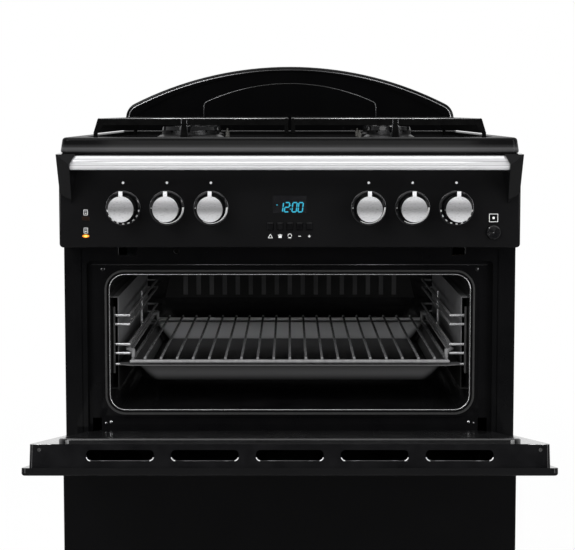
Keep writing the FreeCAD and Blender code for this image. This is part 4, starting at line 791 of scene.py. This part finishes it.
def door_edge_highlights(which):
    """Painted highlights in a door's top edge: the slots' lips and lines and the edges; also its
    corner screws.
    """
    low, high = DOORS[which]
    turn = REST_TURN[which]
    hinge_y, hinge_z = FRONT - 0.030, low + 0.006
    near, top, corner = FRONT - 0.0197, high - 0.0019, 0.0045
    slot_pitch, slot_half, line_half = 0.094, 0.0371, 0.034
    arc_start, arc_turn, arc_steps = 272, 78, 6
    screw_x, screw_y, screw_low, screw_high = 0.2775, FRONT - 0.0078, high - 0.0022, high - 0.0012
    edge_out, edge_in, edge_y, edge_z = 0.2878, 0.2640, FRONT - 0.0019, high - 0.0021
    body = which + "_door"

    def placed(x, y, z):
        """A place on the shut door, turned to where the door rests."""
        dy, dz = y - hinge_y, z - hinge_z
        return (x, hinge_y + dy * math.cos(turn) - dz * math.sin(turn),
                hinge_z + dy * math.sin(turn) + dz * math.cos(turn))

    for k in range(5):
        middle = slot_pitch * (k - 2)
        for side in (-1, 1):
            arc = []
            for step in range(arc_steps + 1):
                a = math.radians(arc_start + arc_turn * step / arc_steps)
                arc.append(placed(middle + side * (slot_half - corner + corner * math.cos(a)),
                                  near + corner + corner * math.sin(a), top))
            tube("%s_slot_lip_%d%s" % (which, k, "ab"[side > 0]), arc, 0.0006, LIP, body,
                 count=6)
        line = [placed(middle + u * line_half, near, top) for u in (-1, -0.3, 0.3, 1)]
        tube("%s_slot_line_%d" % (which, k), line, 0.0003, DIM_HIGHLIGHT, body, count=6)
    for side in (-1, 1):
        tag = which + "_door_%s_" % "lr"[side > 0]
        head = [placed(side * screw_x, screw_y, z) for z in (screw_low, screw_high)]
        tube(tag + "screw", head, 0.0021, DARK_SCREW, body, count=14)
        # The door edge's bead is a painted highlight.
        edge = [placed(side * x, edge_y, edge_z) for x in (edge_out, edge_in)]
        tube(tag + "edge", edge, 0.0005, EDGE, body, count=6)


def knob_ring_highlights():
    """A painted highlight: a fine polished ring round each knob bezel."""
    for number, x in enumerate(KNOB_X, 1):
        ring = disc(x, KNOB_Z, 0.0221, FACE - 0.0024, 40)
        tube("knob_%d_ring" % number, ring, 0.0004, DIM_HIGHLIGHT, "cooker_body", True, 6)


# ---------------------------------------------------------------- stage and light
def seen_directly(tree, others):
    """1 for the camera's rays and for one other kind of ray, and 0 for the rest."""
    paths = node(tree, "ShaderNodeLightPath")
    either = node(tree, "ShaderNodeMath", operation="MAXIMUM")
    tree.links.new(paths.outputs["Is Camera Ray"], either.inputs[0])
    tree.links.new(paths.outputs[others], either.inputs[1])
    return either.outputs["Value"]


def floor_finish():
    """Seen directly it glows white, but for a faint shadow. Glossy faces see it dark."""
    near, far, shadowless, reflected = 1.0, 2.6, 0.86, 0.13
    mat = surface("pale_floor", (0.78, 0.78, 0.78), (0.82, 0.82, 0.82), (0.6, 0.7), grain=3,
                  specular=0.1)
    tree = mat.node_tree
    lit = tree.nodes["Principled BSDF"]
    glow = node(tree, "ShaderNodeEmission")
    glow.inputs["Color"].default_value = (1, 1, 1, 1)
    glow.inputs["Strength"].default_value = 1.0
    pale = lit.inputs["Base Color"].links[0].from_socket
    paths = node(tree, "ShaderNodeLightPath")
    dim = node(tree, "ShaderNodeMix", data_type="RGBA")
    dim.inputs["B"].default_value = (reflected, reflected, reflected, 1)
    tree.links.new(paths.outputs["Is Glossy Ray"], dim.inputs["Factor"])
    tree.links.new(pale, dim.inputs["A"])
    tree.links.new(dim.outputs["Result"], lit.inputs["Base Color"])
    coords = node(tree, "ShaderNodeTexCoord")
    away = node(tree, "ShaderNodeVectorMath", operation="LENGTH")
    tree.links.new(coords.outputs["Object"], away.inputs[0])
    fade = between(tree, away.outputs["Value"], near, far, shadowless)
    share = node(tree, "ShaderNodeMath", operation="MULTIPLY")
    tree.links.new(seen_directly(tree, "Is Transmission Ray"), share.inputs[0])
    tree.links.new(fade, share.inputs[1])
    blend(tree, share.outputs["Value"], lit.outputs["BSDF"], glow.outputs["Emission"],
          tree.nodes["Material Output"])
    return mat


def make_stage():
    """A round floor under the cooker."""
    mesh = bpy.data.meshes.new("floor")
    bm = bmesh.new()
    bmesh.ops.create_circle(bm, cap_ends=True, segments=96, radius=2.7)
    bm.to_mesh(mesh)
    bm.free()
    floor = bpy.data.objects.new("floor", mesh)
    scene.collection.objects.link(floor)
    mesh.materials.append(floor_finish())


def make_world():
    """White behind, above and below; a dim room in front near eye level."""
    world = bpy.data.worlds.new("studio")
    scene.world = world
    world.use_nodes = True
    tree = world.node_tree
    tree.nodes.clear()
    out = node(tree, "ShaderNodeOutputWorld")
    coords = node(tree, "ShaderNodeTexCoord")
    split = node(tree, "ShaderNodeSeparateXYZ")
    tree.links.new(coords.outputs["Generated"], split.inputs["Vector"])
    most = node(tree, "ShaderNodeMath", operation="MAXIMUM")
    tree.links.new(between(tree, split.outputs["Y"], -0.35, 0.15), most.inputs[0])
    tree.links.new(between(tree, split.outputs["Z"], 0.22, 0.50, 0.0, 0.9), most.inputs[1])
    level = spread(tree, most.outputs["Value"], 0.03, 1.0)
    room = node(tree, "ShaderNodeBackground")
    room.inputs["Color"].default_value = (1, 1, 1, 1)
    tree.links.new(level, room.inputs["Strength"])
    white = node(tree, "ShaderNodeBackground")
    white.inputs["Color"].default_value = (1, 1, 1, 1)
    white.inputs["Strength"].default_value = 1.0
    blend(tree, seen_directly(tree, "Is Transmission Ray"), room.outputs["Background"],
          white.outputs["Background"], out)


# Name, place, what it points at, width, height and power in watts.
SOFTBOXES = (
    ("key_softbox", (-1.4, -2.2, 2.4), (0, 0, 0.75), 1.6, 1.2, 46),
    ("fill_softbox", (1.9, -1.6, 1.6), (0, 0, 0.7), 1.0, 1.4, 20),
    ("front_softbox", (0, -2.3, 1.42), (0, 0.1, 0.6), 1.1, 0.30, 4),
    ("low_left_softbox", (-1.5, -1.9, 0.85), (0, 0.1, 0.62), 0.8, 0.5, 11),
    ("low_right_softbox", (1.5, -1.9, 0.85), (0, 0.1, 0.62), 0.8, 0.5, 11),
    ("top_softbox", (0, 0.2, 2.9), (0, 0.1, 0.8), 1.8, 1.4, 22),
)


def softbox(name, place, target, wide, high, power):
    """A rectangular lamp at a place, turned towards its target."""
    data = bpy.data.lights.new(name, "AREA")
    data.shape = "RECTANGLE"
    data.size = wide
    data.size_y = high
    data.energy = power
    lamp = bpy.data.objects.new(name, data)
    scene.collection.objects.link(lamp)
    lamp.location = place
    aim = Vector(target) - Vector(place)
    lamp.rotation_euler = aim.to_track_quat("-Z", "Y").to_euler()


make_camera()
make_stage()
make_world()
for row in SOFTBOXES:
    softbox(*row)
finish_nodes()
knob_marks()
clock_digits()
panel_icons()
front_screws("plate_screws", [(0.249, 0.724, 0.0030, 0.0014)], GLOSS)
front_screws("hinge_screws", [(0.2395, 0.5175, 0.0022, 0.0012), (0.2465, 0.5165, 0.0014, 0.0010)],
             SCREW)
build("latch_hole_plug", [disc(-0.150, 0.7490, 0.0042, PLATE)], SEAL, "cooker_body")
lit_lamp()
opening_highlights()
splashback_highlights()
support_highlights()
plate_highlights()
door_edge_highlights("upper")
door_edge_highlights("lower")
knob_ring_highlights()
